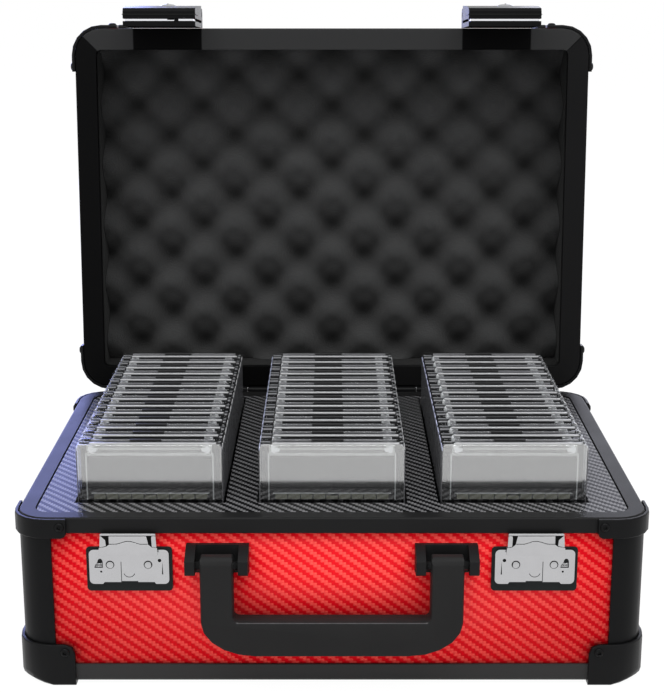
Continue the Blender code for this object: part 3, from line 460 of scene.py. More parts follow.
def add_loft(bm, loops):
    """Skin between loops of points of equal count, capped at both ends."""
    rings = [[bm.verts.new(p) for p in loop] for loop in loops]
    add_skin(bm, rings)
    bm.faces.new(rings[0][::-1])
    bm.faces.new(rings[-1])


def arc(x, z, wide, high, degrees):
    """Points of an arc about a centre."""
    turns = [math.radians(angle) for angle in degrees]
    return [(x + wide * math.cos(turn), z + high * math.sin(turn)) for turn in turns]


def rounded(u, v, radius, steps=5):
    """Points of a rectangle with round corners."""
    points = []
    for cu, cv, start in (
        (u[1] - radius, v[1] - radius, 0),
        (u[0] + radius, v[1] - radius, 90),
        (u[0] + radius, v[0] + radius, 180),
        (u[1] - radius, v[0] + radius, 270),
    ):
        points += arc(cu, cv, radius, radius, [start + 90 * k / steps for k in range(steps + 1)])
    return points


def add_slab(bm, x, y, z, radius=0.0, edge=0.0, axis="Y"):
    """Block with round corners seen along axis and a chamfered edge all round each face."""
    u, v, w = {"X": (y, z, x), "Y": (x, z, y), "Z": (x, y, z)}[axis]
    radius = max(radius, TINY)

    def point(a, b, c):
        return {"X": (c, a, b), "Y": (a, c, b), "Z": (a, b, c)}[axis]

    loops = []
    for inset, place in ((edge, w[0]), (0, w[0] + edge), (0, w[1] - edge), (edge, w[1])):
        spans = [(low + inset, high - inset) for low, high in (u, v)]
        loops.append([point(a, b, place) for a, b in rounded(*spans, max(radius - inset, TINY), steps=4)])
    add_loft(bm, loops if edge else [loops[0], loops[-1]])


def add_lathe(bm, place, axis, profile, sides=24):
    """Solid of revolution. The profile is (radius, height along axis) from the axis out and back."""
    normal = Vector(axis).normalized()
    turn = normal.to_track_quat("Z", "Y").to_matrix()
    rings = []
    for radius, height in profile:
        ring = []
        for k in range(sides if radius > 0 else 1):
            angle = TURN * k / sides
            corner = Vector((radius * math.cos(angle), radius * math.sin(angle), height))
            ring.append(bm.verts.new(Vector(place) + turn @ corner))
        rings.append(ring)
    for one, other in zip(rings, rings[1:]):
        for k in range(sides):
            n = (k + 1) % sides
            corners = [ring[i % len(ring)] for ring, i in ((one, k), (one, n), (other, n), (other, k))]
            bm.faces.new(list(dict.fromkeys(corners))).smooth = True


# Dressing the CAD nodes
def clean_group():
    """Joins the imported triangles' corners and lets the modifiers after it make the normals."""
    group = bpy.data.node_groups.new("joined_corners", "GeometryNodeTree")
    group.interface.new_socket("Geometry", in_out="INPUT", socket_type="NodeSocketGeometry")
    group.interface.new_socket("Geometry", in_out="OUTPUT", socket_type="NodeSocketGeometry")
    enter = group.nodes.new("NodeGroupInput")
    drop = group.nodes.new("GeometryNodeRemoveAttribute")
    drop.inputs["Name"].default_value = "custom_normal"
    merge = group.nodes.new("GeometryNodeMergeByDistance")
    merge.inputs["Distance"].default_value = TINY
    smooth = group.nodes.new("GeometryNodeSetShadeSmooth")
    leave = group.nodes.new("NodeGroupOutput")
    for one, other in zip((enter, drop, merge, smooth), (drop, merge, smooth, leave)):
        group.links.new(one.outputs[0], other.inputs[0])
    return group


CLEAN = clean_group()


def dress(node, material, edge=0.0, segments=2):
    """Gives a CAD node its material and rounds its sharp edges."""
    obj = frame["nodes"][node]
    obj.data.materials.clear()
    obj.data.materials.append(material)
    obj.modifiers.new("joined", "NODES").node_group = CLEAN
    flat = obj.modifiers.new("flat_faces", "DECIMATE")
    flat.decimate_type = "DISSOLVE"
    flat.angle_limit = FLAT_ANGLE
    if edge:
        soften(obj, edge, segments)


def soften(obj, width, segments=2, harden=True):
    """Rounds an object's sharp edges."""
    bevel = obj.modifiers.new("edges", "BEVEL")
    bevel.width = width
    bevel.segments = segments
    bevel.limit_method = "ANGLE"
    bevel.angle_limit = BEVEL_ANGLE
    bevel.harden_normals = harden


def hit(node, start, direction):
    """First place where a ray meets a CAD node, or None."""
    mesh = frame["nodes"][node].data
    tree = BVHTree.FromPolygons([v.co for v in mesh.vertices], [list(p.vertices) for p in mesh.polygons])
    return tree.ray_cast(Vector(start), Vector(direction).normalized())[0]


# Shell
FOOT_RAIL_TOP = 0.0185
RIVET_IN = 0.0255
RIM_RIVET_DROP = 0.0047
FOOT_RIVET_HEIGHT = 0.0205
RIVET_REACH = 0.05
RIVET_PROFILE = (
    (0.0, -0.0004), (0.0027, -0.0004), (0.0027, 0.0002), (0.0024, 0.0008), (0.0017, 0.0012),
    (0.0011, 0.0013), (0.0009, 0.0011), (0.0008, 0.0004), (0.0, 0.0004),
)
RED_CELL, RED_ROUGH, RED_SKIN = (0.00202, 0.00153), (0.34, 0.42), 0.06
DECK_CELL, DECK_ROUGH, DECK_SKIN = (0.00165, 0.00177), (0.34, 0.25), 0.02
DECK_SPLIT, DECK_SHINE = 1.15, 0.055


def dress_shell():
    dress("base_frame", foot_rail_coat(FOOT_RAIL_TOP), COAT_EDGE)
    dress("base_rim", coated_metal("rim_coat", RIM_BLACK, gloss=RIM_GLOSS), COAT_EDGE)
    dress("lid_frame", coated_metal(), COAT_EDGE)
    rim_end = max(-LID_BACKWARD.dot(v.co) for v in frame["nodes"]["lid_rim"].data.vertices)
    dress("lid_rim", rim_bars(SIDE, rim_end), COAT_EDGE)
    plastic = moulded_plastic("corner_plastic", BLACK_COAT, SOFT_GLOSS)
    for _, _, name in CORNERS:
        for kind in ("base_rim_cap", "base_foot_cap", "lid_rim_cap", "lid_top_cap"):
            dress(f"{kind}_{name}", plastic, COAT_EDGE)


def add_rivets():
    """Domed blind rivets through the two sides of every corner cap."""
    steel = coated_metal("rivet_black", tinted(BLACK_COAT, RIVET_TINT), RIVET_ROUGH)
    lid_low, lid_high = shut_box("lid_rim")[0].z, shut_box("lid_top_cap_front_left")[1].z
    places = {
        ("base_rim_cap", "base"): RIM_TOP - RIM_RIVET_DROP,
        ("base_foot_cap", "base"): FOOT_RIVET_HEIGHT,
        ("lid_rim_cap", "lid"): lid_low + RIM_RIVET_DROP,
        ("lid_top_cap", "lid"): lid_high - FOOT_RIVET_HEIGHT,
    }
    for (kind, body), height in places.items():
        to_world = LID_OPEN if body == "lid" else Matrix.Identity(4)
        bm = bmesh.new()
        for a, b, name in CORNERS:
            y_end = FRONT if b < 0 else BACK
            for start, way in (
                ((a * (SIDE - RIVET_IN), y_end + b * RIVET_REACH, height), (0, -b, 0)),
                ((a * (SIDE + RIVET_REACH), y_end - b * RIVET_IN, height), (-a, 0, 0)),
            ):
                inward = to_world.to_3x3() @ Vector(way)
                place = hit(f"{kind}_{name}", to_world @ Vector(start), inward)
                if place is not None:
                    add_lathe(bm, place, -inward, RIVET_PROFILE)
        finished(f"{kind}_rivets", bm, steel, body)


def red_twill(name, across, up):
    return twill(name, across, up, RED_CELL, (RED_DEEP, RED_LIGHT), RED_ROUGH, RED_SKIN)


def dress_panels():
    """Twill on the outer panels and the deck, and plain board below."""
    faces = red_twill("twill_front", X_AXIS, Z_AXIS)
    sides = red_twill("twill_side", Y_AXIS, Z_AXIS)
    lid_faces = red_twill("twill_lid_front", X_AXIS, LID_UP)
    lid_sides = red_twill("twill_lid_side", LID_BACKWARD, LID_UP)
    for names, base, lid in ((("front", "back"), faces, lid_faces), (("left", "right"), sides, lid_sides)):
        for panel in names:
            dress(f"base_{panel}_panel", base)
            dress(f"lid_{panel}_panel", lid)
    dress("base_bottom_panel", moulded_plastic("base_board"))
    dress("lid_top_panel", red_twill("twill_lid_top", X_AXIS, LID_BACKWARD))
    colours = (DECK_DARK, DECK_LIGHT)
    deck = twill("twill_deck", X_AXIS, Y_AXIS, DECK_CELL, colours, DECK_ROUGH, DECK_SKIN,
                 DECK_SPLIT, DECK_SHINE)
    dress("deck_board", deck, THIN)


# Foam
FOAM_PITCH = (0.0464, 0.0424)
FOAM_ROW_PLACE = 0.0134
FOAM_WAVE = 0.0096
FOAM_STEP = 0.0018
FOAM_SHADE = (0.2, 2.3)
INSERT_ROUND, LINER_ROUND = 0.0008, 0.0006


def add_egg_crate():
    """Convoluted foam: a fine wave surface on a flat back, in shut coordinates."""
    low, high = shut_box("lid_egg_crate_foam")
    peak = low.z
    columns = int((high.x - low.x) / FOAM_STEP)
    rows = int((high.y - low.y) / FOAM_STEP)
    bm = bmesh.new()
    front, back = [], []
    for r in range(rows + 1):
        y = low.y + (high.y - low.y) * r / rows
        line, flat = [], []
        for c in range(columns + 1):
            x = low.x + (high.x - low.x) * c / columns
            wave = math.cos(TURN * x / FOAM_PITCH[0])
            wave *= math.cos(TURN * (y - MIDDLE_Y - FOAM_ROW_PLACE) / FOAM_PITCH[1])
            z = peak + FOAM_WAVE * (1 + wave)
            line.append(bm.verts.new(LID_OPEN @ Vector((x, y, z))))
            on_edge = r in (0, rows) or c in (0, columns)
            flat.append(bm.verts.new(LID_OPEN @ Vector((x, y, high.z))) if on_edge else None)
        front.append(line)
        back.append(flat)
    for r in range(rows):
        for c in range(columns):
            bm.faces.new((front[r][c], front[r][c + 1], front[r + 1][c + 1], front[r + 1][c])).smooth = True
    edge = [(0, c) for c in range(columns)] + [(r, columns) for r in range(rows)]
    edge += [(rows, c) for c in range(columns, 0, -1)] + [(r, 0) for r in range(rows, 0, -1)]
    for k, (r, c) in enumerate(edge):
        rn, cn = edge[(k + 1) % len(edge)]
        bm.faces.new((front[r][c], front[rn][cn], back[rn][cn], back[r][c]))
    bm.faces.new([back[r][c] for r, c in edge])
    # Painted shade that darkens the egg crate toward its valleys
    peak_place = LID_UP.dot(LID_OPEN @ Vector((0, 0, peak)))
    depth = (LID_UP, *(peak_place + FOAM_WAVE * share for share in FOAM_SHADE))
    obj = finished("egg_crate_foam", bm, foam("egg_crate_foam", depth=depth), "lid", smooth_angle=80)
    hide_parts("lid_egg_crate_foam")


def copy_of(node, name, material, body, edge):
    """A new piece on a soft node's outline, with rounded edges."""
    bm = bmesh.new()
    bm.from_mesh(frame["nodes"][node].data)
    bmesh.ops.remove_doubles(bm, verts=bm.verts, dist=TINY)
    bmesh.ops.dissolve_limit(bm, angle_limit=FLAT_ANGLE, verts=bm.verts, edges=bm.edges)
    obj = finished(name, bm, material, body)
    soften(obj, edge, segments=3, harden=False)
    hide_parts(node)
    return obj


def add_foam_blocks():
    insert = copy_of("foam_insert", "base_foam_block", foam("base_foam"), "base", INSERT_ROUND)
    # The lid's side foam is a darker copy of the foam: painted shade inside the lid's rim
    shaded_lining = foam("lid_side_foam", FOAM_PAINTED_SHADE, SIDE_FOAM_PAINTED_SHADE, fuzz=0.02)
    liner = copy_of("lid_liner", "lid_side_foam", shaded_lining, "lid", LINER_ROUND)


# Holders: spans across a holder's centre, spans behind its front, and drops below its top
HOLDER_WIDTH = 0.0825
HOLDER_THICKNESS = 0.0104
HOLDER_PITCH = 0.0145
HOLDER_ROUND = 0.0032
GROOVE_LOW, GROOVE_HIGH = 0.0039, 0.0065
GROOVE_DEPTH, GROOVE_EDGE = 0.0018, 0.0003
LIP_EDGE = 0.0007
LIP_TURN = LIP_EDGE * 0.3
SHELL_STATIONS = (
    (LIP_EDGE, 0.0), (LIP_TURN, LIP_TURN), (0, LIP_EDGE), (0, GROOVE_LOW - GROOVE_EDGE),
    (GROOVE_EDGE, GROOVE_LOW), (GROOVE_DEPTH, GROOVE_LOW), (GROOVE_DEPTH, GROOVE_HIGH),
    (GROOVE_EDGE, GROOVE_HIGH), (0, GROOVE_HIGH + GROOVE_EDGE), (0, HOLDER_THICKNESS - LIP_EDGE),
    (LIP_TURN, HOLDER_THICKNESS - LIP_TURN), (LIP_EDGE, HOLDER_THICKNESS),
)
DRAFT = 0.035
PANE_DEPTHS = (-0.00015, -0.00005)
WAIST_DROP = 0.0400
SKIN = 0.0012
STUD_X, STUD_DROP, STUD_RADIUS, STUD_LENGTH = 0.0318, 0.0042, 0.0026, 0.0056
STUD_PROFILE = (
    (0.0, 0.0), (STUD_RADIUS - LIP_EDGE / 2, 0.0), (STUD_RADIUS, LIP_EDGE / 2),
    (STUD_RADIUS, STUD_LENGTH), (0.0, STUD_LENGTH),
)
LABEL_SPAN, LABEL_DEPTH, LABEL_DROPS = (-0.0353, 0.0353), (0.0015, 0.0060), (0.0292, 0.0087)
LABEL_ROUND = 0.0006
FOOT_SPAN, FOOT_DEPTH, FOOT_DROPS = (-0.0333, 0.0333), (SKIN, 0.0034), (0.0306, 0.0301)
CELLS, CELL_START, CELL_WIDTH, CELL_GAP = 9, -0.0323, 0.0646 / 9, 0.0003
CELL_DEPTH, CELL_FOOT, CELL_TOP, MIDDLE_CUT, CELL_ROUND = (0.0014, 0.0056), 0.0338, 0.0308, 0.0009, 0.0004
LINE_SPAN, LINE_DEPTH, LINE_DROPS = (-STUD_X, STUD_X), (SKIN, 0.0018), ((0.0031, 0.0026), (0.0061, 0.0056))
CORE_SPAN, CORE_DEPTH = (-0.03965, 0.03965), (0.0066, 0.0094)
CORE_DROP, CORE_IN, CORE_ROUND = 0.0022, 0.0016, 0.0015
TAB_SPAN, TAB_DEPTH, TAB_DROPS = (-0.0115, 0.0065), (0.0059, 0.0077), (CORE_DROP, -0.0001)
RAIL_SPAN, RAIL_DEPTH, RAIL_DROPS = (0.0353, 0.0360), (SKIN, 0.0022), (0.0341, 0.0067)
WINDOW_DEPTH, WINDOW_DROPS, WINDOW_ROUND = (0.0026, 0.0030), (0.0087, CORE_DROP), 0.0004
EDGE_SPAN, EDGE_DEPTH, EDGE_DROPS = (0.04055, 0.04105), (0.0006, 0.0098), (0.0046, 0.0030)
END_SPANS, END_DROPS = {-1: (0.0346, 0.0400), 1: (0.0384, 0.0400)}, (0.0019, 0.0012)
POST_SPAN, POST_DROPS = (0.04065, 0.04105), (0.0370, 0.0046)
POST_DEPTHS = ((0.0006, 0.0014), (0.0088, 0.0098))
LIP_SPAN, LIP_DEPTH, LIP_DROPS = (-0.0335, 0.0378), (0.0002, 0.0019), (0.0012, 0.0001)
LEDGE_DEPTH, LEDGE_DROPS = (0.0066, 0.0072), (0.0013, 0.0001)
LEDGE_SPANS = ((-0.0335, -0.0115), (0.0065, 0.0365))


def row_materials():
    """The material of each kind of small piece in a row."""
    return {
        "studs": frosted("frosted_stud", FROST),
        "rails": frosted("frosted_rail", RAIL_GREY, roughness=0.25),
        "lines": frosted("moulded_line", LINE_GREY),
        "labels": blank_label(),
        "strips": card_stock("card_edge_strip", OLIVE),
        "cores": card_stock("dark_card", CARD),
        "panes": clear_plastic("clear_front_pane", *PANE_MIRROR, PANE_ROUGH),
        "lips": frosted("frosted_lip", LIP_GREY),
        "ledges": frosted("frosted_ledge", LEDGE_GREY),
        "windows": clear_plastic("clear_window", *WINDOW_MIRROR),
        # Side edges coloured as painted reflections
        "edges_left": frosted("edge_left_painted_reflection", EDGE_LEFT_PAINTED_REFLECTION),
        "edges_right": frosted("edge_right_painted_reflection", EDGE_RIGHT_PAINTED_REFLECTION),
        "side_posts": frosted("frosted_side_post", POST_GREY),
    }


def add_rows():
    shell = clear_plastic("clear_shell", *SHELL_MIRROR)
    kinds = row_materials()
    for row in (1, 2, 3):
        low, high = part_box(f"holder_row_{row}")
        centre = (low.x + high.x) / 2
        count = round((high.y - low.y - HOLDER_THICKNESS) / HOLDER_PITCH) + 1
        parts = {key: bmesh.new() for key in ("shells", *kinds)}
        places = [(centre, low.y + k * HOLDER_PITCH, high.z) for k in range(count)]
        for place in places:
            add_holder(parts, place, high.z - low.z)
            add_holder_shell(parts["shells"], place, low.z)
        add_front_pane(parts["panes"], places[0], low.z)
        add_block(parts["windows"], places[0], LABEL_SPAN, WINDOW_DEPTH, WINDOW_DROPS, WINDOW_ROUND, HAIR)
        body = f"row_{row}"
        shells = finished(f"row_{row}_shells", parts["shells"], shell, body, smooth_angle=25)
        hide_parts(f"holder_row_{row}")
        for key, material in kinds.items():
            finished(f"row_{row}_{key}", parts[key], material, body)


def add_block(bm, place, x, y, drops, radius=0.0, edge=0.0, axis="Y"):
    """Slab given from a holder's centre, front and top."""
    centre, front, top = place
    x, y, z = [centre + v for v in x], [front + v for v in y], [top - v for v in drops]
    add_slab(bm, x, y, z, radius, edge, axis)


def add_holder(parts, place, height):
    """Moulded ledges, label, card and edges of one holder."""
    add_block(parts["lips"], place, LIP_SPAN, LIP_DEPTH, LIP_DROPS, FINE, THIN)
    for span in LEDGE_SPANS:
        add_block(parts["ledges"], place, span, LEDGE_DEPTH, LEDGE_DROPS, HAIR, HAIR)
    for way, side in SIDES:
        add_holder_side(parts, place, way, side)
    for drops in LINE_DROPS:
        add_block(parts["lines"], place, LINE_SPAN, LINE_DEPTH, drops, axis="Z")
    add_block(parts["labels"], place, LABEL_SPAN, LABEL_DEPTH, LABEL_DROPS, LABEL_ROUND, HAIR)
    add_block(parts["rails"], place, FOOT_SPAN, FOOT_DEPTH, FOOT_DROPS, FINE, HAIR)
    for k in range(CELLS):
        x = CELL_START + k * CELL_WIDTH
        drops = (CELL_FOOT, CELL_TOP + (MIDDLE_CUT if k == CELLS // 2 else 0.0))
        span = (x + CELL_GAP, x + CELL_WIDTH - CELL_GAP)
        add_block(parts["strips"], place, span, CELL_DEPTH, drops, CELL_ROUND, HAIR)
    add_block(parts["cores"], place, CORE_SPAN, CORE_DEPTH, (height - CORE_IN, CORE_DROP), CORE_ROUND, FINE)
    add_block(parts["cores"], place, TAB_SPAN, TAB_DEPTH, TAB_DROPS, THIN, HAIR)


def add_holder_side(parts, place, way, side):
    """Edge strip coloured as a painted reflection, ledge ends, posts, stud and label rail on one side of a
    holder.
    """
    add_block(parts[f"edges_{side}"], place, mirrored(way, EDGE_SPAN), EDGE_DEPTH, EDGE_DROPS, HAIR, HAIR)
    for depth in (LIP_DEPTH, LEDGE_DEPTH):
        add_block(parts["ledges"], place, mirrored(way, END_SPANS[way]), depth, END_DROPS, HAIR, HAIR)
    for depth in POST_DEPTHS:
        add_block(parts["side_posts"], place, mirrored(way, POST_SPAN), depth, POST_DROPS, axis="Z")
    centre, front, top = place
    stud = (centre + way * STUD_X, front + SKIN, top - STUD_DROP)
    add_lathe(parts["studs"], stud, Y_AXIS, STUD_PROFILE, sides=16)
    add_block(parts["rails"], place, mirrored(way, RAIL_SPAN), RAIL_DEPTH, RAIL_DROPS, axis="X")


def holder_ring(place, bottom, inset):
    """Outline of a holder seen from the front, with a point at the waist on each side."""
    centre, _, top = place
    low, high = centre - HOLDER_WIDTH / 2 + inset, centre + HOLDER_WIDTH / 2 - inset
    ring = rounded((low, high), (bottom + inset, top - inset), HOLDER_ROUND - inset)
    half = len(ring) // 2
    waist = top - WAIST_DROP
    return ring[:half] + [(low, waist)] + ring[half:] + [(high, waist)]


def add_front_pane(bm, place, bottom):
    """Glossy skin on the leaning front of the holder in front."""
    _, front, top = place
    ring = holder_ring(place, bottom, LIP_EDGE)
    outline = ring[:len(ring) // 2] + [ring[-1]]
    add_loft(bm, [[(x, front + depth + DRAFT * (top - z), z) for x, z in outline] for depth in PANE_DEPTHS])


def add_holder_shell(bm, place, bottom):
    """Clear case with rounded edges, a groove along the top and a front that leans back downwards."""
    _, front, top = place
    rings = []
    for inset, depth in SHELL_STATIONS:
        ring = []
        for x, z in holder_ring(place, bottom, inset):
            lean = DRAFT * min(top - z, WAIST_DROP) if depth <= LIP_EDGE else 0.0
            ring.append(bm.verts.new((x, front + depth + lean, z)))
        rings.append(ring)
    add_skin(bm, rings)
    first, left = rings[0], len(rings[0]) // 2 - 1
    bm.faces.new([first[-1]] + first[:left + 1])
    bm.faces.new(first[left:])
    bm.faces.new(rings[-1])


# Catches, drawn from the front about their own centre; heights are over the floor
CATCH_PLATE = 0.0011
CATCH_HALF, CATCH_LOW, CATCH_HIGH, CATCH_ROUND = 0.0220, 0.0616, 0.0818, 0.0026
NOTCH_HALF, NOTCH_FOOT, NOTCH_LEVEL = 0.0138, 0.0147, 0.0627
TONGUE_SPAN, TONGUE_LEVEL = (-0.0048, 0.0043), 0.0633
GROOVE = 0.00035
PLATE_EDGE = 0.00012
RIVET_X, RIVET_Z, RIVET_HOLE, RIVET_SAG = 0.0105, 0.0730, 0.00240, 0.00030
RIVET_HEAD = ((0.0, 0.0), (0.0020, 0.0), (0.0020, 0.0005), (0.0016, 0.0009), (0.0009, 0.0011), (0.0, 0.00115))
PIN_HOLE_X, PIN_HOLE_Z, PIN_HOLE = 0.0155, 0.0689, 0.0006
LINE_X, LINE_HEIGHTS = 0.0044, (0.0612, 0.0748)
THUMB_Z, THUMB_RADIUS, THUMB_ARC = 0.0688, 0.0033, range(200, 341, 14)
SLOT_X, SLOT_LOW, SLOT_MIDDLE, SLOT_HALF = 0.0166, 0.0712, 0.0745, 0.0021
SLOT_FLARE, SLOT_LEAN, SLOT_SHOULDER, SLOT_ARC = 0.0005, 0.3, 0.0015, range(0, 181, 30)
RUNGS, RUNG_LOW, RUNG_PITCH, RUNG_HIGH, RUNG_EDGE = 3, 0.0716, 0.0008, 0.0004, 0.00005
SPOT_X, SPOT_Z, SPOT = 0.0169, 0.0755, 0.0010
SCORE_X, SCORE_LOW, SCORE_HIGH = 0.0184, 0.0672, 0.0748
HOOK_FACE, HOOK_SKIN, HOOK_BACKING = 0.0033, 0.0004, 0.0022
HOLLOW_HALF, HOLLOW_HEIGHTS, HOLLOW_ROUND = 0.0151, (0.0799, 0.0918), 0.0004
TOP_BAR = ((-0.0153, 0.0909), (0.0153, 0.0909), (0.0153, 0.0917), (0.0148, 0.0921), (-0.0148, 0.0921),
           (-0.0153, 0.0917))
WAVE = ((-0.0112, 0.0861), (-0.0066, 0.0861), (-0.0042, 0.0868), (-0.0018, 0.0877), (0.0006, 0.0878),
        (0.0030, 0.0872), (0.0052, 0.0864), (0.0070, 0.0861), (0.0104, 0.0861))
BAND_END = ((0.0104, 0.09055), (-0.0102, 0.09055))
APRON_START = ((-0.0163, 0.0795), (0.0163, 0.0795), (0.0160, 0.0837), (0.0120, 0.0845))
APRON_END = ((-0.0131, 0.0841), (-0.0160, 0.0837))
LEFT_STRAP = ((-0.0157, 0.0840), (-0.0131, 0.0844), (-0.0129, 0.0895), (-0.0131, 0.0906), (-0.0153, 0.0906))
RIGHT_STRAP = ((0.0157, 0.0840), (0.0120, 0.0848), (0.0123, 0.0883), (0.0147, 0.0906), (0.0153, 0.0906))


def polygon_plate(bm, points, near, far):
    """Plate of a front outline given as (x, z) between two depths."""
    add_loft(bm, [[(x, y, z) for x, z in points] for y in (near, far)])


def carve(obj, cutter_bm):
    """Cuts the shapes of one mesh out of an object for good."""
    bmesh.ops.recalc_face_normals(cutter_bm, faces=cutter_bm.faces)
    mesh = mesh_of("cutter", cutter_bm)
    cutter = add_object("cutter", mesh)
    cut = obj.modifiers.new("cut", "BOOLEAN")
    cut.object = cutter
    cut.solver = "EXACT"
    bpy.context.view_layer.update()
    result = bpy.data.meshes.new_from_object(obj.evaluated_get(bpy.context.evaluated_depsgraph_get()))
    obj.modifiers.remove(cut)
    bpy.data.objects.remove(cutter)
    bpy.data.meshes.remove(mesh)
    old = obj.data
    obj.data = result
    bpy.data.meshes.remove(old)


def catch_cutters(side, centre, near, far):
    """Holes and fine lines through the plate: rivets, pin, slots, thumb piece and its edge."""
    bm = bmesh.new()
    depth = far - near

    def hole(x, z, radius, sides=20):
        profile = ((0.0, 0.0), (radius, 0.0), (radius, depth), (0.0, depth))
        add_lathe(bm, (centre + x, near, z), Y_AXIS, profile, sides)

    for way in (-1, 1):
        hole(way * RIVET_X, RIVET_Z, RIVET_HOLE)
    hole(side * PIN_HOLE_X, PIN_HOLE_Z, PIN_HOLE, sides=12)
    hole(-side * SPOT_X, SPOT_Z, SPOT, sides=12)
    x = centre + side * SLOT_X
    right = x + SLOT_HALF
    outline = [(x - SLOT_HALF - SLOT_FLARE, SLOT_LOW), (right, SLOT_LOW), (right, SLOT_MIDDLE)]
    wide = SLOT_HALF * (1 - SLOT_LEAN)
    outline += arc(x + SLOT_HALF * SLOT_LEAN, SLOT_MIDDLE, wide, SLOT_HALF, SLOT_ARC)
    outline.append((x - SLOT_HALF, SLOT_MIDDLE - SLOT_SHOULDER))
    polygon_plate(bm, outline, near, far)
    x = centre + side * LINE_X
    add_slab(bm, (x - GROOVE / 2, x + GROOVE / 2), (near, far), LINE_HEIGHTS)
    x = centre - side * SCORE_X
    polygon_plate(bm, [(x - GROOVE, SCORE_LOW), (x + GROOVE, SCORE_LOW), (x, SCORE_HIGH)], near, far)
    thumb = arc(centre, THUMB_Z, THUMB_RADIUS, THUMB_RADIUS, THUMB_ARC)
    inner = THUMB_RADIUS - GROOVE
    polygon_plate(bm, thumb + arc(centre, THUMB_Z, inner, inner, THUMB_ARC[::-1]), near, far)
    return bm


def catch_outline(centre, side):
    points = rounded((centre - CATCH_HALF, centre + CATCH_HALF), (CATCH_LOW, CATCH_HIGH), CATCH_ROUND)
    last = len(points) * 3 // 4
    left, right = mirrored(side, TONGUE_SPAN)
    notch = (
        (-NOTCH_FOOT, CATCH_LOW), (-NOTCH_HALF, NOTCH_LEVEL), (left, NOTCH_LEVEL), (left, TONGUE_LEVEL),
        (right, TONGUE_LEVEL), (right, NOTCH_LEVEL), (NOTCH_HALF, NOTCH_LEVEL), (NOTCH_FOOT, CATCH_LOW),
    )
    return points[:last] + [(centre + x, z) for x, z in notch] + points[last:]


def add_hook(centre, side, name, nickel, shadow):
    """Front skin of the hook in five plates, and a black slab behind it as painted shade that shows through
    the grooves between them.
    """
    face = FRONT - HOOK_FACE
    apron = (*APRON_START, *((x, z - GROOVE) for x, z in WAVE[::-1]), *APRON_END)
    bm = bmesh.new()
    for outline in (TOP_BAR, WAVE + BAND_END, apron, LEFT_STRAP, RIGHT_STRAP):
        polygon_plate(bm, [(centre + side * x, z) for x, z in outline], face, face + HOOK_SKIN)
    hook = finished(f"catch_{name}_hook", bm, nickel, "base")
    soften(hook, PLATE_EDGE)
    # Black slab as painted shade behind the hook's grooves
    bm = bmesh.new()
    add_slab(bm, (centre - HOLLOW_HALF, centre + HOLLOW_HALF), (face + HOOK_SKIN, face + HOOK_BACKING),
             HOLLOW_HEIGHTS, HOLLOW_ROUND, HAIR)
    finished(f"catch_{name}_hollow", bm, shadow, "base")


def add_catch(side, name, nickel, shadow):
    low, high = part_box(f"catch_plate_{name}")
    centre = (low.x + high.x) / 2
    near = FRONT - CATCH_PLATE
    bm = bmesh.new()
    polygon_plate(bm, catch_outline(centre, side), near, FRONT)
    plate = finished(f"catch_{name}_plate", bm, nickel, "base")
    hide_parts(f"catch_plate_{name}")
    carve(plate, catch_cutters(side, centre, near - CATCH_PLATE, FRONT + CATCH_PLATE))
    soften(plate, PLATE_EDGE)
    add_hook(centre, side, name, nickel, shadow)
    bm = bmesh.new()
    middle = near + CATCH_PLATE / 2
    for way in (-1, 1):
        add_lathe(bm, (centre + way * RIVET_X, middle, RIVET_Z - RIVET_SAG), -Y_AXIS, RIVET_HEAD, sides=20)
    x = centre + side * SLOT_X
    for k in range(RUNGS):
        z = RUNG_LOW + k * RUNG_PITCH
        add_slab(bm, (x - SLOT_HALF, x + SLOT_HALF - RUNG_HIGH), (middle, FRONT),
                 (z, z + RUNG_HIGH), HAIR, RUNG_EDGE)
    finished(f"catch_{name}_rivets", bm, nickel, "base")


# Hardware
LOCK_RADIUS, KEY_HALF, KEY_HEIGHT, KEY_ROUND = 0.0053, 0.0005, 0.0024, 0.0003
LOCK_DOME = 0.0012
DOME_STEPS = ((1.0, LOCK_DOME), (0.8, LOCK_DOME * 0.4), (0.45, 0.0001), (0.0, 0.0))
SEAM_PROUD, SEAM_THICK, SEAM_OUT, SEAM_HIGH = 0.0004, 0.0003, 0.0027, 0.02
LEAF_IN, LEAF_SPAN, LEAF_DEEP, LEAF_ROUND = 0.0012, (0.0001, 0.0015), 0.0150, 0.0004
STOPS = ((-0.1022, -0.0994, 0.0015), (-0.1067, -0.1023, 0.0008))
# Width and patchiness of the painted highlight on the grip's edge
HIGHLIGHT_WIDE, HIGHLIGHT_PATCH, HIGHLIGHT_UNEVEN = 0.0011, 0.004, (0.4, 1.2)


def add_lock_face(name, nickel, shadow):
    """Key cylinder with a low dome on the place of the CAD one, and a black slab as painted shade for its key
    slot.
    """
    low, high = shut_box(f"lock_cylinder_{name}")
    x, _, z = (low + high) / 2
    length = high.y - low.y
    bm = bmesh.new()
    dome = ((LOCK_RADIUS * share, length - drop) for share, drop in DOME_STEPS)
    profile = ((0.0, 0.0), (LOCK_RADIUS, 0.0), *dome)
    add_lathe(bm, LID_OPEN @ Vector((x, high.y, z)), -LID_BACKWARD, profile, sides=32)
    face = finished(f"lock_{name}_face", bm, nickel, f"lock_{name}")
    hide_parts(f"lock_cylinder_{name}")
    # Black slab as painted shade for the key slot
    bm = bmesh.new()
    add_slab(bm, (x - KEY_HALF, x + KEY_HALF), (low.y - HAIR, low.y + LOCK_DOME),
             (z - KEY_HEIGHT, z + KEY_HEIGHT), KEY_ROUND)
    finished_on_lid(f"lock_{name}_slot", bm, shadow, f"lock_{name}")


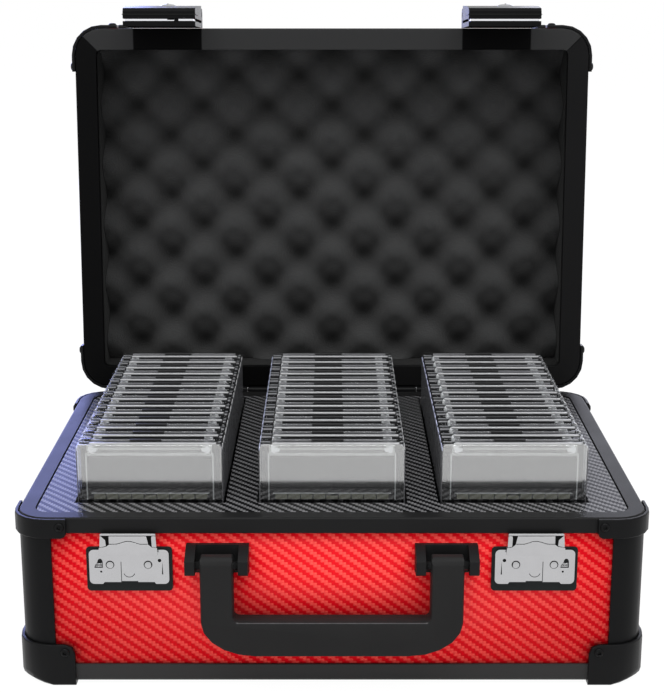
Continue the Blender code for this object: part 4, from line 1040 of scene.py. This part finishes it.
def add_latch_seams(material):
    """Thin rolled ledge round the end of each latch cover."""
    for _, name in SIDES:
        low, high = shut_box(f"latch_cover_{name}")
        middle = high.y - SEAM_OUT
        bm = bmesh.new()
        add_slab(bm, (low.x - SEAM_PROUD, high.x + SEAM_PROUD), (middle - SEAM_THICK, middle + SEAM_THICK),
                 (low.z - SEAM_PROUD, low.z + SEAM_HIGH), FINE, HAIR)
        finished_on_lid(f"latch_{name}_seam", bm, material, f"hasp_{name}")


def add_latch_leaves(polished, shadow):
    """Polished spring leaf in the slot between each cover and its hasp plate, and the left latch's stop."""
    for _, name in SIDES:
        low, high = shut_box(f"latch_cover_{name}")
        bm = bmesh.new()
        add_slab(bm, (low.x + LEAF_IN, high.x - LEAF_IN), [high.y + depth for depth in LEAF_SPAN],
                 (low.z + LEAF_IN, low.z + LEAF_DEEP), LEAF_ROUND, HAIR)
        finished_on_lid(f"latch_{name}_leaf", bm, polished, f"hasp_{name}")
    bm = bmesh.new()
    for left, right, depth in STOPS:
        add_slab(bm, (left, right), (high.y + LEAF_SPAN[0], high.y + depth),
                 (low.z + LEAF_IN / 2, low.z + LEAF_IN), HAIR, HAIR)
    finished_on_lid("latch_left_stop", bm, shadow, "hasp_left")


def handle_painted_highlight(s):
    """Share of the grip's painted highlight: its upper front edge."""
    low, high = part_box("handle")
    middle = (low + high) / 2
    opening = (0, middle.y, middle.z)
    grip_top = hit("handle", opening, (0, 0, -1)).z
    end = hit("handle", opening, (1, 0, 0)).x - HIGHLIGHT_WIDE * 2
    up = s.step(s.along(Z_AXIS), grip_top - HIGHLIGHT_WIDE, grip_top - HIGHLIGHT_WIDE / 2)
    ahead = s.step(s.along(-Y_AXIS), -low.y - HIGHLIGHT_WIDE, -low.y - HIGHLIGHT_WIDE / 2)
    inside = s.step(s.math("ABSOLUTE", s.along(X_AXIS)), end + HIGHLIGHT_WIDE, end)
    patchy = s.between(s.noise(HIGHLIGHT_PATCH, 3), *HIGHLIGHT_UNEVEN)
    return s.math("MULTIPLY", s.math("MULTIPLY", up, ahead), s.math("MULTIPLY", inside, patchy))


def dress_hardware():
    plate = moulded_plastic("backplate_black", BACKPLATE, SATIN)
    mount = moulded_plastic("mounting_black", MOUNT_BLACK, SOFT_GLOSS, MOUNT_GLOSS)
    # The handle gets a painted highlight along its grip's upper front edge
    grip = moulded_plastic("handle_black", HANDLE_BLACK, SATIN, HANDLE_GLOSS, handle_painted_highlight)
    coat = coated_metal("hinge_black", BLACK_COAT, SLEEK)
    latch = coated_metal("latch_black", LATCH_BLACK, SLEEK, LATCH_GLOSS)
    # Black slabs as painted shade in hollows
    hollow = coated_metal("hollow_painted_shade", HOLLOW_PAINTED_SHADE, gloss=HOLLOW_GLOSS)
    nickel = bright_metal("nickel_plate")
    dress("handle", grip, GRIP_EDGE, segments=3)
    looks = (
        ("catch_backplate", plate, FINE), ("handle_mounting", mount, COAT_EDGE), ("handle_pin", mount),
        ("hinge_base_leaf", coat, FINE), ("hinge_lid_leaf", coat, FINE), ("hinge_pin", nickel),
        ("latch_bracket", latch, FINE), ("latch_cover", latch, SOFT_EDGE, 3), ("hasp_plate", latch, FINE),
    )
    for side, name in SIDES:
        for node, *look in looks:
            dress(f"{node}_{name}", *look)
        add_catch(side, name, nickel, hollow)
        add_lock_face(name, nickel, hollow)
    add_latch_seams(coated_metal("latch_seam", LATCH_SEAM, SEAM_ROUGH, SEAM_GLOSS))
    add_latch_leaves(bright_metal("polished_leaf", LEAF_BRIGHT, LEAF_ROUGH), hollow)


# Studio
WHITE = (1, 1, 1)
WORLD_LIGHT = 0.55
FLOOR_WHITE = 0.86
FLOOR_SHADOW_SHARE = 0.07
FLOOR_GLOW = 1.04
FLOOR_HALF = 20
SOFTBOXES = (
    # Name, place, target, size, power, colour, and whether it shows in mirrors
    ("top_softbox", (0.0, -0.35, 1.6), (0, 0, 0.1), (2.2, 1.6), 30, WHITE, False),
    ("front_softbox", (0.0, -2.2, 0.9), (0, 0, 0.1), (2.4, 1.4), 22, WHITE, False),
    ("edge_softbox", (0.0, -0.5, 1.3), (0, -0.05, 0.1), (1.8, 0.3), 8, WHITE, True),
    ("right_back_softbox", (0.75, 1.6, 0.55), (0.1, 0, 0.15), (0.9, 1.0), 4.8, (0.74, 0.76, 0.95), True),
    ("left_back_softbox", (-0.75, 1.6, 0.55), (-0.1, 0, 0.15), (0.9, 1.0), 20.0, (0.28, 0.33, 0.90), True),
)


def add_area_light(name, place, target, size, power, colour, in_mirrors):
    data = bpy.data.lights.new(name, "AREA")
    data.shape = "RECTANGLE"
    data.size, data.size_y = size
    data.energy = power
    data.color = colour
    light = add_object(name, data)
    light.location = place
    light.rotation_euler = (Vector(target) - Vector(place)).to_track_quat("-Z", "Y").to_euler()
    light.visible_camera = False
    light.visible_glossy = in_mirrors


def seen_share(tree):
    """1 for rays that the camera sends straight, by reflection or through glass, and 0 for light."""
    path = tree.nodes.new("ShaderNodeLightPath")
    total = path.outputs["Is Camera Ray"]
    for output in ("Is Glossy Ray", "Is Transmission Ray"):
        node = tree.nodes.new("ShaderNodeMath")
        node.operation = "MAXIMUM"
        tree.links.new(total, node.inputs[0])
        tree.links.new(path.outputs[output], node.inputs[1])
        total = node.outputs[0]
    return total


def add_world():
    """Soft light all round that looks plain white when it is seen."""
    world = bpy.data.worlds.new("studio")
    bpy.context.scene.world = world
    world.use_nodes = True
    tree = world.node_tree
    light = tree.nodes["Background"]
    light.inputs["Strength"].default_value = WORLD_LIGHT
    white = tree.nodes.new("ShaderNodeBackground")
    for node in (light, white):
        node.inputs["Color"].default_value = (*WHITE, 1)
    mix_shaders(tree, "World Output", seen_share(tree), light, white)


def add_floor():
    """White floor that glows where it is seen, so that only a faint shadow shows."""
    bm = bmesh.new()
    bmesh.ops.create_grid(bm, x_segments=2, y_segments=2, size=FLOOR_HALF)
    mesh = mesh_of("floor", bm)
    floor = add_object("floor", mesh)
    s = Shader("pale_floor", (FLOOR_WHITE,) * 3, Roughness=0.9, Specular_IOR_Level=0.0)
    glow = s.tree.nodes.new("ShaderNodeEmission")
    glow.inputs["Strength"].default_value = FLOOR_GLOW
    share = s.math("MULTIPLY", seen_share(s.tree), 1 - FLOOR_SHADOW_SHARE)
    mix_shaders(s.tree, "Material Output", share, s.bsdf, glow)
    mesh.materials.append(s.material)


def add_studio():
    add_world()
    add_floor()
    for softbox in SOFTBOXES:
        add_area_light(*softbox)


def add_camera():
    data = bpy.data.cameras.new("camera")
    data.lens = CAMERA_LENS
    data.sensor_fit = "AUTO"
    data.sensor_width = CAMERA_SENSOR
    camera = add_object("camera", data)
    camera.location = CAMERA_PLACE
    camera.rotation_euler = (CAMERA_PITCH, 0, 0)
    bpy.context.scene.camera = camera


add_camera()
add_studio()
dress_shell()
dress_panels()
dress_hardware()
add_rivets()
add_egg_crate()
add_foam_blocks()
add_rows()

bpy.context.scene.view_settings.view_transform = "Standard"
